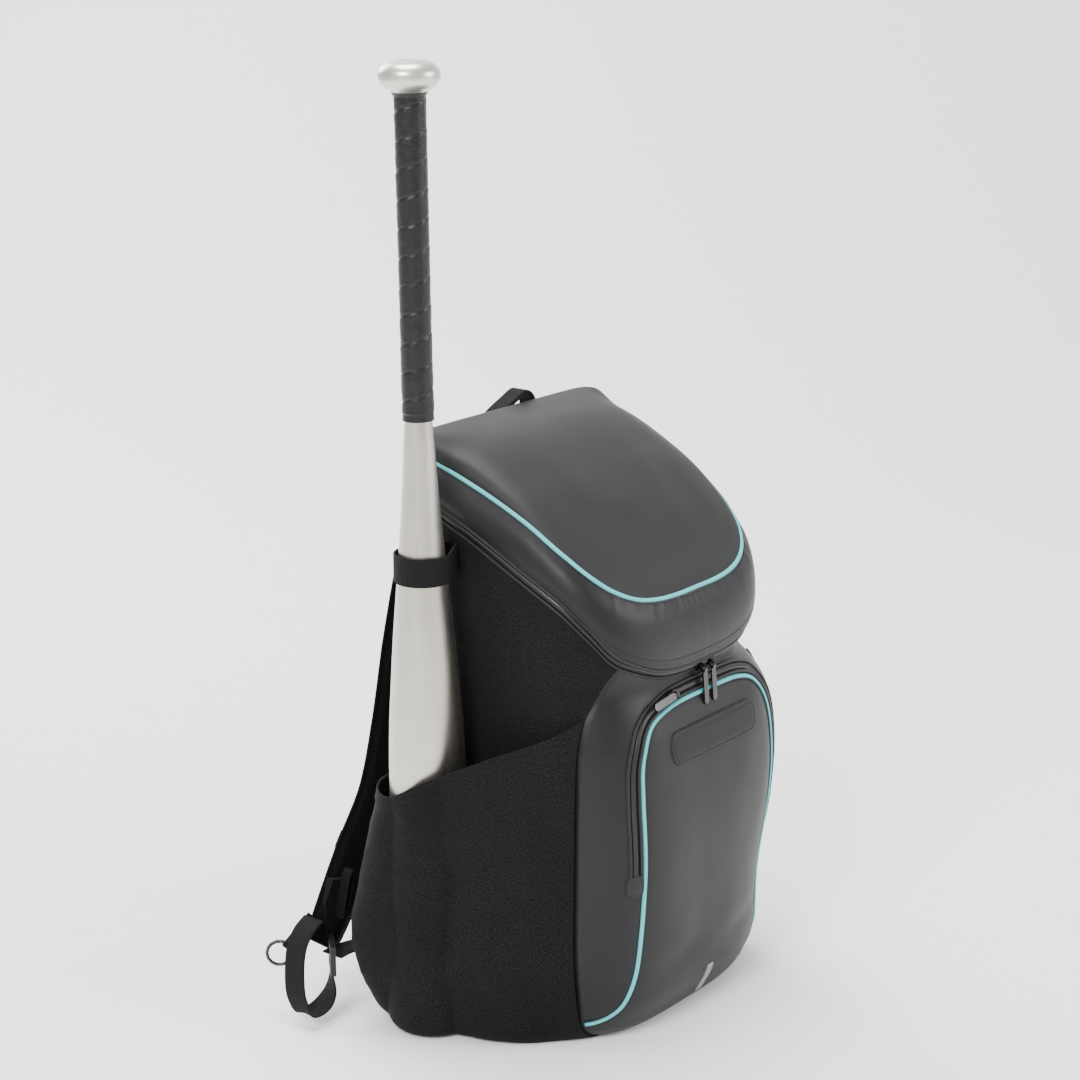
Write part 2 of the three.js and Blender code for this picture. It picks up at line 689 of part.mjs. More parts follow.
// The room inside the pack's cloth, from a floor up past the rim
function innerForm(floor) {
  const loops = LEVELS_INSIDE.map((share) => anglesRound(AROUND_INSIDE).map((angle) => (
    bodyPoint(angle, lerp(floor, rimHeight(angle), share), -CLOTH_WALL)
  )));
  const past = loops[loops.length - 1].map((point) => point.clone().setZ(point.z + ZIP_WIDTH));
  return loft([...loops, past]);
}

// Angle at which a coordinate of the pack's cloth reaches a value, where it grows with the angle
function angleWhere(coordinateAt, value, from, to) {
  let [low, high] = [from, to];
  for (let i = 0; i < 30; i += 1) {
    const middle = (low + high) / 2;
    if (coordinateAt(middle) < value) {
      low = middle;
    } else {
      high = middle;
    }
  }
  return (low + high) / 2;
}

function onFront(x, height, grow) {
  const angle = angleWhere((degrees) => -bodyPoint(degrees, height).x, -x, -80, 80);
  return bodyPoint(angle, height, grow);
}

// Space behind the side seam or in front of it
function seamHalf(isBack, gap) {
  const seam = SIDE_SEAM.map((row) => [-row.front * FRONT_DEPTH + gap, row.height * PACK_HEIGHT]);
  const far = isBack ? 3 * FRONT_DEPTH : -3 * FRONT_DEPTH;
  const top = 2 * PACK_HEIGHT;
  const outline = [...seam, [seam[seam.length - 1][0], top], [far, top], [far, seam[0][1]]];
  return prism(outline, 'x', -2 * PACK_WIDTH, 2 * PACK_WIDTH);
}

function makeMainBody() {
  const inside = innerForm(BASE_FLOOR).intersect(seamHalf(true, CLOTH_WALL));
  return outerForm(0).intersect(seamHalf(true, CLEARANCE / 2)).subtract(inside);
}

// The front pocket's seam in front view, from foot to foot over its top, moved outwards
function pocketSeam(grow = 0, steps = 34) {
  const half = POCKET_SEAM.map((row) => (
    new THREE.Vector3(-row.out * HALF_WIDTH, 0, row.height * PACK_HEIGHT)
  ));
  const other = half.slice(0, -1).reverse().map((point) => new THREE.Vector3(-point.x, 0, point.z));
  const curve = new THREE.CatmullRomCurve3([...half, ...other], false, 'centripetal');
  return Array.from({ length: steps + 1 }, (unused, i) => {
    const point = curve.getPointAt(i / steps);
    const tangent = curve.getTangentAt(i / steps);
    return [point.x - tangent.z * grow, point.z + tangent.x * grow];
  });
}

// Space in front of the pack inside the pocket's seam, with the skirt below it
function panelSpace(grow) {
  const seam = pocketSeam(grow);
  const [foot, start] = [-PACK_HEIGHT, seam[0][1]];
  const left = [[-PACK_WIDTH, foot], [-PACK_WIDTH, start]];
  const right = [[PACK_WIDTH, start], [PACK_WIDTH, foot]];
  return prism([...left, ...seam, ...right], 'y', -3 * FRONT_DEPTH, 0);
}

// A thin layer that lies on the front within an outline in front view
function frontLayer(outline, thickness) {
  const layer = outerForm(CLEARANCE + thickness).subtract(outerForm(CLEARANCE));
  return layer.intersect(prism(outline, 'y', -3 * FRONT_DEPTH, 0));
}

function makeFrontShell() {
  const below = rectangle(-PACK_WIDTH, PACK_WIDTH, -PACK_HEIGHT, FRONT_SHELL_TOP * PACK_HEIGHT);
  const inside = innerForm(CLOTH_WALL).intersect(prism(below, 'y', -3 * FRONT_DEPTH, FRONT_DEPTH));
  return outerForm(0).intersect(seamHalf(false, -CLEARANCE / 2)).subtract(inside);
}

function makeFrontPiping() {
  const path = pocketSeam().map(([x, z]) => onFront(x, z, PIPING_PROUD));
  return tube(path, PIPING_RADIUS, PIPING_SIDES).intersect(seamHalf(false, -CLEARANCE));
}

function makeFrontZip() {
  const near = PIPING_RADIUS + 2 * CLEARANCE;
  const above = rectangle(-PACK_WIDTH, PACK_WIDTH, FRONT_ZIP_START * PACK_HEIGHT, PACK_HEIGHT);
  const layer = frontLayer(above, ZIP_THICKNESS);
  return layer.intersect(panelSpace(near + ZIP_WIDTH)).subtract(panelSpace(near));
}

function makeNamePlate() {
  const seamTop = POCKET_SEAM[POCKET_SEAM.length - 1].height * PACK_HEIGHT;
  const middle = seamTop - PIPING_RADIUS - PLATE_TOP_GAP - PLATE_HEIGHT / 2;
  const outline = roundedRectangle(PLATE_WIDTH, PLATE_HEIGHT, PLATE_CORNER, 2);
  return frontLayer(outline.map(([x, z]) => [x, z + middle]), TRIM_THICKNESS);
}

function makeReflectiveTab() {
  const outline = rectangle(-TAB_WIDTH / 2, TAB_WIDTH / 2, TAB_FOOT, TAB_FOOT + TAB_HEIGHT);
  return frontLayer(outline, TRIM_THICKNESS);
}

// Point of the lid's cloth on one of its rings, moved inwards by a given amount
function hoodPoint(degrees, row, isPanel, inset = 0) {
  const plan = planPoint(
    row.width * HALF_WIDTH,
    row.front * FRONT_DEPTH,
    row.back * BACK_DEPTH,
    HOOD_CORNERS,
    degrees,
    -inset,
  );
  if (wholeTurn(degrees) > 180) {
    const nearCorner = bump(fromFront(degrees) - HOOD_DENT.angle, HOOD_DENT.turn);
    plan.setLength(plan.length() - HOOD_DENT.depth * FRONT_DEPTH * nearCorner);
    plan.x *= 1 - HOOD_DENT.narrow * smoothstep(plan.x, 0, HALF_WIDTH / 2);
  }
  const piping = lidLine(degrees, 'piping');
  if (!isPanel) {
    const start = lidLine(degrees, 'zip') + ZIP_WIDTH / 2;
    return new THREE.Vector3(plan.x, plan.y, lerp(start, piping, row.rise));
  }
  const roof = PACK_HEIGHT * lookUp(ROOF_LINE, 'back', plan.y / FRONT_DEPTH, 'height');
  const nearBack = smoothstep(plan.y / BACK_DEPTH, SHARP_BACK.from, SHARP_BACK.to);
  const rise = row.rise > 0 ? lerp(row.rise, 1, nearBack) : 0;
  return new THREE.Vector3(plan.x, plan.y, lerp(piping, Math.max(roof, piping), rise));
}

function hoodRing(row, isPanel, count, inset, drop) {
  return anglesRound(count).map((angle) => {
    const point = hoodPoint(angle, row, isPanel, inset);
    return point.setZ(point.z - drop);
  });
}

function makeHoodGusset() {
  const outside = HOOD_BAND.map((row) => hoodRing(row, false, AROUND, 0, row.rise === 1 ? PIPING_SLOT : 0));
  const [start, end] = [HOOD_BAND[0], HOOD_BAND[HOOD_BAND.length - 1]];
  const middle = HOOD_BAND[2];
  const inside = [
    hoodRing(end, false, AROUND, CLOTH_WALL, PIPING_SLOT),
    hoodRing(middle, false, AROUND, CLOTH_WALL, 0),
    hoodRing(start, false, AROUND, CLOTH_WALL, 0),
  ];
  return loft([...outside, ...inside], true);
}

function makeHoodPanel() {
  const outside = HOOD_PANEL.map((row) => hoodRing(row, true, AROUND, 0, row.rise === 0 ? -PIPING_SLOT : 0));
  const rows = [HOOD_PANEL[0], HOOD_PANEL[2], HOOD_PANEL[3], HOOD_PANEL[4]];
  const inside = rows.map((row) => (
    hoodRing(row, true, AROUND, CLOTH_WALL, row.rise === 0 ? -PIPING_SLOT : CLOTH_WALL)
  ));
  return loft([...inside.reverse(), ...outside]);
}

function makeHoodPiping() {
  const row = HOOD_BAND[HOOD_BAND.length - 1];
  const path = anglesRound().map((angle) => hoodPoint(angle, row, false, PIPING_PROUD));
  return tube(path, PIPING_RADIUS, PIPING_SIDES, true);
}

// Strip that joins the pack's rim to the lid between two angles, with a gap at both edges
function lidJoint(from, to, gap) {
  const steps = Math.round((AROUND * (to - from)) / 360);
  const reach = ZIP_WIDTH / 2 - gap;
  const loops = Array.from({ length: steps + 1 }, (unused, i) => {
    const angle = lerp(from, to, i / steps);
    const middle = lidLine(angle, 'zip');
    const low = bodyPoint(angle, rimHeight(angle), -CLEARANCE).setZ(middle - reach);
    const high = hoodPoint(angle, HOOD_BAND[0], false, CLEARANCE).setZ(middle + reach);
    const depth = CLEARANCE + ZIP_THICKNESS;
    const lowInside = bodyPoint(angle, rimHeight(angle), -depth).setZ(low.z);
    const highInside = hoodPoint(angle, HOOD_BAND[0], false, depth).setZ(high.z);
    return [low, high, highInside, lowInside];
  });
  return loft(loops, false, true);
}

// Angle at which the tangent from an outer point touches a circle, on one side of it
function touchAngle(point, centre, radius, side) {
  const away = point.clone().sub(centre);
  return Math.atan2(away.y, away.x) + side * Math.acos(clamp(radius / away.length(), 0, 1));
}

function onCircle(centre, radius, turn) {
  return new THREE.Vector2(Math.cos(turn), Math.sin(turn)).multiplyScalar(radius).add(centre);
}

function pocketFold(along, share) {
  let depth = 0;
  for (const fold of POCKET_FOLDS) {
    const across = along - fold.along - fold.slope * (share - fold.height);
    depth += fold.depth * bump(across, fold.reach) * bump(share - fold.height, fold.rise);
  }
  return depth;
}

// Open outline moved inwards along its own normals
function movedInwards(points, inset) {
  const last = points.length - 1;
  return points.map((point, i) => {
    const run = points[Math.min(i + 1, last)].clone().sub(points[Math.max(i - 1, 0)]);
    const inwards = new THREE.Vector2(run.y, -run.x).normalize();
    return point.clone().addScaledVector(inwards, inset);
  });
}

// A plan point kept at least a given distance from a centre
function pushedOut(point, centre, distance) {
  const away = point.clone().sub(centre);
  return away.setLength(Math.max(away.length(), distance)).add(centre);
}

// Plan loop of a pocket round a roll of a given radius and place, drawn on the bat's side
function pocketLoop(height, roll, inset) {
  const share = height / PACK_HEIGHT;
  const at = (column) => lookUp(POCKET_SECTIONS, 'height', share, column);
  const centre = new THREE.Vector2(-roll.out, roll.back)
    .add(new THREE.Vector2(-at('out'), at('back')).multiplyScalar(roll.radius));
  const radius = at('radius') * (roll.radius + POCKET_WALL + POCKET_SLACK);
  const seam = -SIDE_SEAM[0].front * FRONT_DEPTH;
  const seamAngle = angleWhere((degrees) => bodyPoint(roll.side * degrees, height).y, seam, 20, 120);
  const seamLift = CLEARANCE + POCKET_WALL + POCKET_SEAM_LIFT;
  const start = bodyPoint(roll.side * seamAngle, height, seamLift);
  const front = new THREE.Vector2(roll.side * start.x, start.y);
  const end = bodyPoint(roll.side * POCKET_REAR_ANGLE, height, -POCKET_WALL);
  const rear = new THREE.Vector2(roll.side * end.x, end.y);
  const from = touchAngle(front, centre, radius, -1);
  const to = touchAngle(rear, centre, radius, 1);
  const sweep = wholeTurn(radToDeg(from - to));
  const touch = onCircle(centre, radius, from);
  const run = touch.clone().sub(front);
  const outwards = new THREE.Vector2(-run.y, run.x).normalize();
  const points = [];
  for (let step = 0; step < roll.frontSteps; step += 1) {
    const t = step / roll.frontSteps;
    const swell = at('fullness') * (1.15 - 0.3 * t) + pocketFold(t, share);
    const out = swell * roll.radius * Math.sin(Math.PI * t);
    points.push(front.clone().addScaledVector(run, t).addScaledVector(outwards, out));
  }
  for (let step = 0; step <= roll.arcSteps; step += 1) {
    points.push(onCircle(centre, radius, from - degToRad((sweep * step) / roll.arcSteps)));
  }
  points.push(rear);
  const held = new THREE.Vector2(-roll.out, roll.back);
  const room = at('room') * (roll.radius + POCKET_WALL + POCKET_ROOM);
  const loop = movedInwards(points.map((point) => pushedOut(point, held, room)), inset);
  loop.push(new THREE.Vector2(-HALF_WIDTH / 2, rear.y), new THREE.Vector2(-HALF_WIDTH / 2, front.y));
  return loop.map((point) => new THREE.Vector3(point.x, point.y, height));
}

function makeSidePocket(roll) {
  const heights = POCKET_SECTIONS.map((row) => row.height * PACK_HEIGHT);
  const aboveFloor = heights.filter((height, row) => !ROWS_ONLY_OUTSIDE.includes(row));
  const insideHeights = [BASE_FLOOR, ...aboveFloor];
  const outside = loft(heights.map((height) => pocketLoop(height, roll, 0)));
  const inside = loft(insideHeights.map((height) => pocketLoop(height, roll, POCKET_WALL)));
  const mouth = POCKET_MOUTH.map((row) => (
    new THREE.Vector3(0, row.back * FRONT_DEPTH, row.height * PACK_HEIGHT)
  ));
  const edge = smoothPath(mouth, 10).map((point) => [point.y, point.z]);
  const [first, last] = [edge[0], edge[edge.length - 1]];
  const [before, past] = [3 * first[0], 3 * last[0]];
  const below = [[before, -1], [before, first[1]], ...edge, [past, last[1]], [past, -1]];
  const drawn = outside
    .subtract(inside)
    .intersect(prism(below, 'x', -2 * PACK_WIDTH, 0))
    .intersect(seamHalf(true, CLEARANCE / 2));
  const placed = roll.side === 1 ? drawn : mirrored(drawn);
  return placed.subtract(outerForm(CLEARANCE)).subtract(backPadForm(CLEARANCE));
}

// The padding on the back, grown by a given amount
function backPadForm(grow) {
  const last = BACK_PAD_SECTIONS.length - 1;
  return loft(BACK_PAD_SECTIONS.map((row, i) => {
    const pastEnd = (i === last ? grow : 0) - (i === 0 ? grow : 0);
    const height = row.height * PACK_HEIGHT + pastEnd;
    const outer = BACK_PAD_ANGLES.map((angle, k) => {
      const isEdge = k === 0 || k === BACK_PAD_ANGLES.length - 1;
      const spine = 1 - 0.3 * bump(angle - 180, 9);
      const share = row.padding * spine * (isEdge ? 0.5 : 1);
      const wider = 180 + (angle - 180) * (1 + 0.01 * grow);
      return bodyPoint(wider, height, CLEARANCE + BACK_PAD_THICKNESS * share + grow);
    });
    const inner = BACK_PAD_ANGLES.map((angle) => (
      bodyPoint(180 + (angle - 180) * (1 + 0.01 * grow), height, -CLOTH_WALL)
    ));
    return [...outer, ...inner.reverse()];
  }));
}

function makeBackPanel() {
  return backPadForm(0).subtract(outerForm(CLEARANCE));
}

// Radius of the bat's outside at a share of its length
function batRadius(along) {
  const row = (column) => lookUp(BAT_PROFILE, 'along', along, column);
  return row('barrel') * BARREL_RADIUS + row('handle') * HANDLE_RADIUS;
}

// Half section of the bat between two heights of its own
function batOutline(from, to, grow) {
  const between = BAT_PROFILE.map((row) => row.along * BAT_LENGTH);
  const heights = [from, ...between.filter((height) => height > from + 1 && height < to - 1), to];
  return heights.map((height) => [batRadius(height / BAT_LENGTH) + grow, height]);
}

const TUBE_TOP = BAT_LENGTH - KNOB_HEIGHT;

function makeBatTube() {
  const bottom = END_CAP_HEIGHT + CLEARANCE;
  const outside = batOutline(bottom, TUBE_TOP, 0);
  const top = TUBE_TOP - 2 * BAT_WALL;
  const full = batOutline(bottom, top, -BAT_WALL);
  const inside = full.filter((point, i) => i % 3 === 0 || i === full.length - 1);
  return turned([...outside.reverse(), ...inside, [0, top], [0, TUBE_TOP], outside[0]]);
}

function makeBatEndCap() {
  const plug = batRadius(0) - BAT_WALL - CLEARANCE;
  const [foot, edge] = [0.86 * batRadius(0), batRadius(0)];
  return turned([
    [0, 0],
    [foot, 0],
    [edge, 0.35 * END_CAP_HEIGHT],
    [edge, END_CAP_HEIGHT],
    [plug, END_CAP_HEIGHT],
    [plug, END_CAP_HEIGHT + END_PLUG_HEIGHT],
    [0, END_CAP_HEIGHT + END_PLUG_HEIGHT],
  ]);
}

function makeBatGrip() {
  const from = TUBE_TOP - GRIP_LENGTH;
  const inner = batOutline(from, TUBE_TOP - CLEARANCE, CLEARANCE);
  const outer = batOutline(from, TUBE_TOP - CLEARANCE, CLEARANCE + GRIP_THICKNESS).reverse();
  return turned([...inner, ...outer, inner[0]]);
}

function makeBatKnob() {
  const foot = TUBE_TOP + CLEARANCE;
  const height = BAT_LENGTH - foot;
  const side = KNOB_PROFILE.map((row) => [
    (row.knob * KNOB_DIAMETER) / 2 + row.handle * HANDLE_RADIUS,
    foot + row.along * height,
  ]);
  return turned([[0, foot], ...side, [0, BAT_LENGTH]]);
}

// Middle of the bat at a height above the floor
function batMiddle(height) {
  const up = height - BAT_FOOT;
  return new THREE.Vector3(
    -BAT_OUT - up * Math.tan(degToRad(BAT_TILT_Y)),
    BAT_BACK + up * Math.tan(degToRad(BAT_TILT_X)),
    height,
  );
}

// Plan of a drop shape round the bat with its tip inside the pack's side
function batStrapOutline(radius, tipInset) {
  const middle = batMiddle(BAT_STRAP_HEIGHT);
  const centre = new THREE.Vector2(middle.x, middle.y);
  const tip = new THREE.Vector2(-HALF_WIDTH * 0.9 + tipInset, middle.y);
  const from = radToDeg(touchAngle(tip, centre, radius, 1));
  const to = radToDeg(touchAngle(tip, centre, radius, -1));
  const sweep = wholeTurn(to - from);
  const steps = 16;
  const arc = Array.from({ length: steps + 1 }, (unused, i) => (
    onCircle(centre, radius, degToRad(from + (sweep * i) / steps))
  ));
  return [tip, ...arc].map((point) => [point.x, point.y]);
}

function makeBatStrap() {
  const low = BAT_STRAP_HEIGHT - WEBBING_WIDTH / 2;
  const high = BAT_STRAP_HEIGHT + WEBBING_WIDTH / 2;
  const radius = batRadius((low - BAT_FOOT) / BAT_LENGTH) + BAT_STRAP_SLACK;
  const outside = prism(batStrapOutline(radius + WEBBING_THICKNESS, 0), 'z', low, high);
  const inside = prism(batStrapOutline(radius, -3 * WEBBING_THICKNESS), 'z', low - 1, high + 1);
  return outside.subtract(inside).subtract(outerForm(CLEARANCE));
}

// Zip slider whose tape lies behind it at +Y, with its bail in front
function makeSlider() {
  const front = -SLIDER_DEPTH - BAIL_REACH;
  const cheekX = 1.6 + CLEARANCE + CHEEK_WIDTH / 2;
  const depth = SLIDER_DEPTH + BAIL_REACH + BAIL_RADIUS;
  const cheek = (x) => block(CHEEK_WIDTH, depth, 2 * BAIL_RADIUS, x, -depth / 2, 0);
  return block(SLIDER_WIDTH, SLIDER_DEPTH, SLIDER_HEIGHT, 0, -SLIDER_DEPTH / 2, 0)
    .add(cheek(cheekX))
    .add(cheek(-cheekX))
    .add(barAlongX(BAIL_RADIUS, 2 * cheekX).translate(0, front, 0));
}

// Pull that hangs down from a slider's bail
function makePull() {
  const eye = BAIL_RADIUS + CLEARANCE;
  const lug = barAlongX(eye + 1, 3.2, 8).subtract(barAlongX(eye, 4, 8));
  const low = -PULL_LENGTH / 2 - eye - 0.4;
  const plate = prism(
    roundedRectangle(PULL_WIDTH, PULL_LENGTH, 2, 1).map(([x, z]) => [x, z + low]),
    'y',
    -PULL_THICKNESS / 2,
    PULL_THICKNESS / 2,
  );
  return lug.add(plate);
}

function strapMiddle(row) {
  return new THREE.Vector3(
    -row.out * HALF_WIDTH,
    BACK_DEPTH + BACK_PAD_THICKNESS + CLEARANCE + row.back * STRAP_STANDOFF,
    row.height * PACK_HEIGHT,
  );
}

const strapPath = smoothPath(STRAP_SECTIONS.map(strapMiddle), STRAP_STEPS);

// Place on the strap: its middle, its run and its width towards the pack's middle
function strapFrame(share) {
  const i = Math.round(share * STRAP_STEPS);
  const next = strapPath[Math.min(i + 1, STRAP_STEPS)];
  const run = next.clone().sub(strapPath[Math.max(i - 1, 0)]).normalize();
  const width = run.clone().cross(Y_AXIS).normalize();
  return { middle: strapPath[i], run, width };
}

function strapSize(share) {
  const row = rowAt(STRAP_SECTIONS, share);
  return { width: STRAP_WIDTH * row.width, thickness: STRAP_THICKNESS * row.thickness };
}

// A shoulder strap, grown by a given amount
function strapForm(grow) {
  const sizeAt = (share) => {
    const { width, thickness } = strapSize(share);
    return { width: width + 2 * grow, thickness: thickness + 2 * grow };
  };
  const past = strapFrame(1).run.clone().multiplyScalar(grow);
  const path = [...strapPath.slice(0, -1), strapPath[STRAP_STEPS].clone().add(past)];
  return band(path, sizeAt, () => Y_AXIS, STRAP_CORNERS);
}

function makeShoulderStrap() {
  return strapForm(0).subtract(backPadForm(CLEARANCE));
}

// A solid made round the origin, with X along the strap's width and Z up its run, set on the strap
function onStrap(solid, frame, place) {
  const up = frame.run.clone().negate();
  const out = frame.width.clone().cross(up).negate().normalize();
  const matrix = new THREE.Matrix4().makeBasis(frame.width, out, up).setPosition(place);
  return solid.transform(matrix.toArray());
}

// The buckle stands between the strap's end and the pack, turned across the strap
const buckleMiddle = strapFrame(1).middle.clone()
  .sub(new THREE.Vector3(BUCKLE_OUT, BUCKLE_FORWARD, BUCKLE_DROP));

function buckleForm(grow) {
  return block(BUCKLE_WIDTH + 2 * grow, BUCKLE_THICKNESS + 2 * grow, BUCKLE_HEIGHT + 2 * grow)
    .rotate([0, 0, BUCKLE_TURN])
    .translate(buckleMiddle.toArray());
}

function makeBuckle() {
  const slotHeight = (BUCKLE_HEIGHT - 3 * BUCKLE_BAR) / 2;
  const slotShift = (BUCKLE_BAR + slotHeight) / 2;
  const slot = (z) => block(BUCKLE_WIDTH - 2 * BUCKLE_BAR, 2 * BUCKLE_THICKNESS, slotHeight, 0, 0, z);
  return buckleForm(0).subtract(
    slot(slotShift).add(slot(-slotShift)).rotate([0, 0, BUCKLE_TURN]).translate(buckleMiddle.toArray()),
  );
}

// Webbing from the buckle to the foot of the pack's back
function makeFootWebbing() {
  const angle = FOOT_WEBBING_ANGLE;
  const depth = BACK_PAD_THICKNESS + 2 * CLEARANCE + WEBBING_THICKNESS / 2;
  const foot = bodyPoint(angle, FOOT_WEBBING_HEIGHT, depth);
  const beside = foot.clone().lerp(buckleMiddle, 0.2).setY(foot.y);
  const near = buckleMiddle.clone().add(new THREE.Vector3(BUCKLE_WIDTH / 2, 0, 0));
  const path = smoothPath([buckleMiddle, near, beside, foot], 8);
  const size = () => ({ width: TAIL_WIDTH, thickness: WEBBING_THICKNESS });
  return band(path, size, () => Y_AXIS)
    .subtract(buckleForm(CLEARANCE))
    .subtract(backPadForm(CLEARANCE));
}

function makeTail() {
  const path = smoothPath(TAIL_PATH.map((row) => new THREE.Vector3(
    buckleMiddle.x - row.out * TAIL_SPREAD,
    buckleMiddle.y - row.lean * TAIL_LEAN,
    buckleMiddle.z - row.drop * TAIL_DROP,
  )), 14);
  const size = () => ({ width: TAIL_WIDTH, thickness: WEBBING_THICKNESS });
  const buckleAxis = new THREE.Vector3(Math.cos(degToRad(BUCKLE_TURN)), Math.sin(degToRad(BUCKLE_TURN)), 0);
  const hint = (tangent, share) => (
    tangent.clone().cross(Y_AXIS.clone().lerp(buckleAxis, smoothstep(share, 0.65, 1)))
  );
  return band(path, size, hint).subtract(buckleForm(CLEARANCE)).subtract(strapForm(CLEARANCE));
}

// Adjuster of the chest strap on the strap's outer face
function makeChestSlider() {
  const frame = strapFrame(CHEST_SLIDER_AT);
  const place = frame.middle.clone().setY(frame.middle.y + STRAP_THICKNESS / 2);
  const outline = roundedRectangle(CHEST_SLIDER_WIDTH, CHEST_SLIDER_HEIGHT, 3);
  const plate = prism(outline, 'y', -STRAP_THICKNESS / 4, CHEST_SLIDER_THICKNESS);
  return onStrap(plate, frame, place).subtract(strapForm(CLEARANCE));
}

// Sewn patch on the strap's inner face that runs down to the buckle
function makeStrapPatch() {
  const face = strapFrame(PATCH_AT).middle.y - STRAP_THICKNESS / 2;
  const low = buckleMiddle.z + BUCKLE_HEIGHT / 2 - BUCKLE_BAR;
  const outline = PATCH_OUTLINE.map((row) => [
    buckleMiddle.x + row.across * PATCH_WIDTH,
    low + row.up * PATCH_HEIGHT,
  ]);
  return prism(outline, 'y', face - TRIM_THICKNESS, face + STRAP_THICKNESS / 2)
    .subtract(strapForm(CLEARANCE))
    .subtract(buckleForm(CLEARANCE));
}

// Narrow webbing folded into a loop that stands up beside the patch
function makeWebbingLoop() {
  const face = strapFrame(PATCH_AT).middle.y - STRAP_THICKNESS / 2 - TRIM_THICKNESS;
  const foot = new THREE.Vector3(
    buckleMiddle.x + PATCH_WIDTH - 2 * LOOP_GAP,
    face - CLEARANCE - NARROW_WEBBING / 2,
    buckleMiddle.z + BUCKLE_HEIGHT,
  );
  const spread = LOOP_GAP / 2;
  const half = [[spread, 0], [spread, 0.5], [spread, 0.9]];
  const path = [...half, [0, 1], ...half.map(([across, up]) => [-across, up]).reverse()];
  const points = path.map(([across, up]) => (
    foot.clone().add(new THREE.Vector3(across + LOOP_LEAN * up, 0, up * LOOP_LENGTH))
  ));
  const size = () => ({ width: NARROW_WEBBING, thickness: WEBBING_THICKNESS });
  return band(smoothPath(points, 8), size, (tangent) => tangent.clone().cross(Y_AXIS))
    .add(block(LOOP_GAP, NARROW_WEBBING, LOOP_GAP, foot.x, foot.y, foot.z + LOOP_GAP / 2));
}

// Middle of the accessory ring and the level direction in its plane
const ringMiddle = buckleMiddle.clone().add(new THREE.Vector3(-RING_OUT, RING_BACK, RING_LIFT));
const ringAcross = new THREE.Vector3(Math.cos(degToRad(RING_TURN)), -Math.sin(degToRad(RING_TURN)), 0);

function makeRing() {
  const steps = 14;
  const points = Array.from({ length: steps }, (unused, i) => {
    const turn = (2 * Math.PI * i) / steps;
    const point = ringMiddle.clone().addScaledVector(ringAcross, RING_RADIUS * Math.cos(turn));
    return point.addScaledVector(Z_AXIS, RING_RADIUS * Math.sin(turn));
  });
  return tube(points, RING_WIRE, PIPING_SIDES, true);
}

// Tab of webbing from the strap's edge that is looped round the ring's nearest side
function makeRingTab() {
  const strap = strapFrame(RING_TAB_AT).middle;
  const anchor = new THREE.Vector3(ringMiddle.x + RING_TAB_REACH, strap.y + STRAP_THICKNESS / 2, strap.z);
  const normal = ringAcross.clone().cross(Z_AXIS);
  const out = anchor.clone().sub(ringMiddle);
  out.addScaledVector(normal, -out.dot(normal)).normalize();
  const wire = ringMiddle.clone().addScaledVector(out, RING_RADIUS);
  const reach = RING_WIRE + RING_TAB_SLACK + WEBBING_THICKNESS / 2;
  const onWire = (degrees) => wire.clone()
    .addScaledVector(out, reach * Math.cos(degToRad(degrees)))
    .addScaledVector(normal, reach * Math.sin(degToRad(degrees)));
  const seam = (WEBBING_THICKNESS + CLEARANCE) / 2;
  const points = [
    anchor.clone().addScaledVector(normal, seam),
    ...[60, 100, 140, 180, 220, 260, 300].map(onWire),
    anchor.clone().addScaledVector(normal, -seam),
  ];
  const size = () => ({ width: RING_TAB_WIDTH, thickness: WEBBING_THICKNESS });
  const across = normal.clone().cross(out);
  return band(points, size, (tangent) => tangent.clone().cross(across))
    .subtract(strapForm(CLEARANCE));
}

function makeTopHandle() {
  const foot = BACK_PAD_SECTIONS[BACK_PAD_SECTIONS.length - 1].height * PACK_HEIGHT - HANDLE_THICKNESS;
  const back = HOOD_BAND[1].back * BACK_DEPTH + CLEARANCE + HANDLE_WIDTH / 2;
  const points = HANDLE_ARCH.map((row) => new THREE.Vector3(
    row.across * HANDLE_SPAN,
    back,
    foot + row.rise * HANDLE_RISE,
  ));
  const size = () => ({ width: HANDLE_WIDTH, thickness: HANDLE_THICKNESS });
  return band(smoothPath(points, 14), size, (tangent) => tangent.clone().cross(Y_AXIS))
    .subtract(backPadForm(CLEARANCE));
}

// Place, outward direction and downward direction of the lid's zip tape at an X
function hoodTapeSeat(x) {
  const angle = radToDeg(Math.asin(clamp(-x / FRONT_DEPTH, -1, 1)));
  const middle = lidLine(angle, 'zip');
  const low = bodyPoint(angle, rimHeight(angle), -CLEARANCE).setZ(middle - ZIP_WIDTH / 2);
  const high = hoodPoint(angle, HOOD_BAND[0], false, CLEARANCE).setZ(middle + ZIP_WIDTH / 2);
  const down = low.clone().sub(high).setX(0).normalize();
  const outwards = down.clone().cross(X_AXIS);
  const place = low.add(high).multiplyScalar(0.5).setX(x).addScaledVector(outwards, 2 * CLEARANCE);
  return { place, outwards, down };
}

// Place and outward direction of the front's cloth, and a direction along the pocket's zip
function frontTapeSeat() {
  const steps = 80;
  const path = pocketSeam(PIPING_RADIUS + 2 * CLEARANCE + ZIP_WIDTH / 2, steps);
  const i = Math.round(FRONT_SLIDER_AT * steps);
  const at = (k) => onFront(path[k][0], path[k][1], 2 * CLEARANCE + ZIP_THICKNESS + FRONT_SLIDER_LIFT);
  const place = at(i);
  const down = at(i - 1).sub(at(i + 1)).normalize();
  const [x, z] = path[i];
  const rise = onFront(x, z + 3, 0).sub(onFront(x, z - 3, 0));
  const run = onFront(x + 3, z, 0).sub(onFront(x - 3, z, 0));
  return { place, outwards: run.cross(rise).normalize(), down };
}

